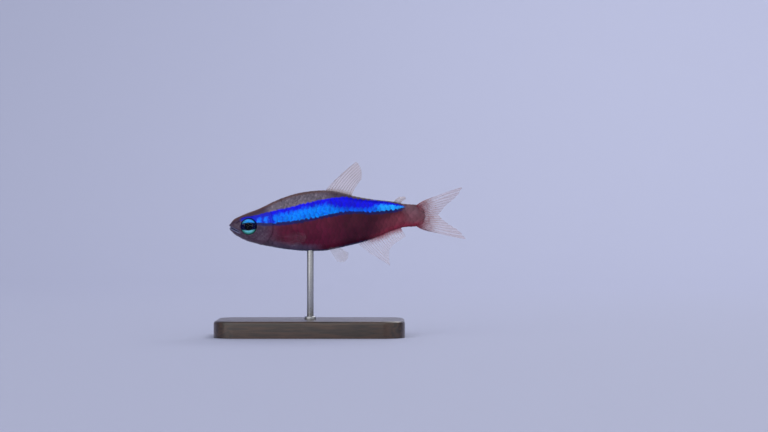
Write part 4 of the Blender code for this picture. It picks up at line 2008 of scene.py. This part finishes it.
@dataclass
class Studio:
    """A plain pale sweep, soft lights and the camera at the photo's framing."""

    frame_width: float = 138.3 * MM
    photo_pixels: tuple[int, int] = (768, 432)
    snout_pixel: tuple[float, float] = (229.5, 227.0)
    lens: float = 100.0
    sensor: float = 36.0
    clip: tuple[float, float] = (0.01, 10.0)
    sweep_front: float = -1.05
    sweep_back: float = 0.55
    sweep_radius: float = 0.30
    sweep_steps: int = 16
    sweep_half: float = 4.0
    sweep_height: float = 1.3
    sky: tuple[float, float, float, float] = (0.93, 0.95, 1.0, 1.0)
    sky_strength: float = 0.35
    lamps: tuple[Lamp, ...] = (
        Lamp("key", (-0.32, -0.55, 0.44), 1.1, 4.8),
        Lamp("fill", (0.55, -0.40, 0.25), 1.0, 1.7, (0.95, 0.97, 1.0)),
        Lamp("back", (0.20, 0.35, 0.50), 0.4, 2.0),
    )

    def sweep(self) -> None:
        """A floor that curves up into a backdrop, drawn as one extruded line."""
        start = self.sweep_back - self.sweep_radius
        line = [(self.sweep_front, 0.0), (start, 0.0)]
        for k in range(1, self.sweep_steps + 1):
            angle = math.pi / 2 * k / self.sweep_steps
            along, up = math.sin(angle), 1 - math.cos(angle)
            line.append((start + self.sweep_radius * along, self.sweep_radius * up))
        line.append((self.sweep_back, self.sweep_height))
        floor = added("floor", bpy.ops.mesh.primitive_plane_add, size=1)
        shape = bmesh.new()
        left = [shape.verts.new((-self.sweep_half, y, z)) for y, z in line]
        for a, b in zip(left, left[1:]):
            shape.edges.new((a, b))
        shape.to_mesh(floor.data)
        shape.free()
        with editing(floor):
            across = {"value": (2 * self.sweep_half, 0, 0)}
            bpy.ops.mesh.extrude_region_move(TRANSFORM_OT_translate=across)
        smooth(floor)
        floor.data.materials.append(PaperFinish().material())

    def camera(self) -> None:
        """Level, square to the fish's side, with the snout where the photo has it."""
        pixel = self.frame_width / self.photo_pixels[0]
        x = FISH.snout.x + (self.photo_pixels[0] / 2 - self.snout_pixel[0]) * pixel
        z = FISH.snout.z + (self.snout_pixel[1] - self.photo_pixels[1] / 2) * pixel
        data = bpy.data.cameras.new("camera")
        data.lens, data.sensor_width = self.lens, self.sensor
        data.clip_start, data.clip_end = self.clip
        camera = linked("camera", data)
        camera.location = (x, -self.frame_width * self.lens / self.sensor, z)
        camera.rotation_euler = (math.pi / 2, 0, 0)
        bpy.context.scene.camera = camera

    def build(self) -> None:
        """Sets the stage, the camera, the lights and the sky."""
        self.sweep()
        self.camera()
        for lamp in self.lamps:
            lamp.build()
        world = bpy.data.worlds.new("studio")
        world.use_nodes = True
        background = world.node_tree.nodes["Background"].inputs
        background["Color"].default_value = self.sky
        background["Strength"].default_value = self.sky_strength
        bpy.context.scene.world = world
        bpy.context.scene.view_settings.view_transform = "Standard"


def median_fins() -> list[Fin]:
    """The dorsal, adipose, anal and tail fins.

    Returns:
        The fins, not built yet.
    """
    tan = FinFinish(
        "dorsal_membrane", root="8f7877", ray="b3a1a0", membrane="d3bdba", root_reach=1.3 * MM,
        membrane_alpha=0.20,
    )
    fleshy = FinFinish("adipose_flesh", root="6a5a66", membrane="b4a6b0", membrane_alpha=0.55)
    pink = FinFinish(
        "anal_membrane", root="a03a52", ray="d4c4cc", membrane="d2c8d2", root_reach=1.7 * MM,
        root_front=0.15, root_alpha=0.90,
    )
    red = FinFinish(
        "tail_membrane", root="842c44", ray="c4a9ac", membrane="cbb6b8", root_reach=5.2 * MM,
        root_alpha=0.72,
    )
    dorsal = MedianFin(
        "dorsal_fin_membrane", 11, tan, ("dorsal_fin",), bow=0.05, span=(0.512, 0.650),
        tips=(
            (0.0, 0.609, 0.240), (0.2, 0.690, 0.305), (0.4, 0.707, 0.285), (0.7, 0.716, 0.250),
            (1.0, 0.713, 0.213),
        ),
    )
    adipose = MedianFin(
        "adipose_fin_flesh", 3, fleshy, ("adipose_fin",), bow=0.10, span=(0.872, 0.906),
        tips=((0.0, 0.908, 0.107), (0.5, 0.937, 0.107), (1.0, 0.942, 0.094)),
        ray_height=(0.02 * MM, 0.01 * MM), ray_width=0.4, thickness=(0.30 * MM, 0.12 * MM),
    )
    anal = MedianFin(
        "anal_fin_membrane", 19, pink, ("anal_fin",), bow=-0.04, span=(0.667, 0.903),
        outline=SHAPE.belly, side=-1,
        tips=(
            (0.0, 0.750, -0.190), (0.17, 0.838, -0.254), (0.3, 0.835, -0.215), (0.45, 0.838, -0.176),
            (0.65, 0.865, -0.142), (0.85, 0.905, -0.118), (1.0, 0.930, -0.103),
        ),
    )
    tail = TailFin("tail_fin_membrane", 20, red, ("caudal_fin_upper", "caudal_fin_lower"), bow=0.035)
    return [dorsal, adipose, anal, tail]


def paired_fins(side: Side) -> list[Fin]:
    """One side's pectoral and pelvic fin.

    Args:
        side: The side.

    Returns:
        The fins, not built yet.
    """
    rooted = dict(root="5a404e", root_reach=0.6 * MM, root_alpha=0.12)
    pectoral = FinFinish(
        f"pectoral_membrane_{side.word}", ray="a8909a", membrane="a08c98", membrane_alpha=0.010,
        ray_alpha=0.055, **rooted,
    )
    pelvic = FinFinish(
        f"pelvic_membrane_{side.word}", membrane_alpha=0.05, ray_alpha=0.22,
        clear_root=(0.35 * MM, 1.10 * MM), **rooted,
    )
    names = [f"{kind}_fin_{side.word}" for kind in ("pectoral", "pelvic")]
    return [
        PairedFin(f"{names[0]}_membrane", 11, pectoral, (names[0],), side=side),
        PairedFin(
            f"{names[1]}_membrane", 8, pelvic, (names[1],), side=side, place=(0.540, 157),
            root_length=1.5 * MM, root_way=(0.93, -0.35, 0.08), ray_way=(0.70, 0.38, -0.60),
            lengths=(3.3 * MM, 3.8 * MM, 2.4 * MM), half_fan=math.radians(18),
        ),
    ]


def main() -> None:
    """Builds and dresses the whole model."""
    logging.basicConfig(level=logging.INFO, format="%(name)s: %(message)s")
    Studio().build()
    Body().build()
    Scales().build()
    iris, cornea = IrisFinish().material(), CorneaFinish().material()
    for side in Side:
        Eye(side).build(iris, cornea)
    for fin in median_fins() + paired_fins(Side.LEFT) + paired_fins(Side.RIGHT):
        fin.build()
    Stand().build()


if __name__ == "__main__":
    main()
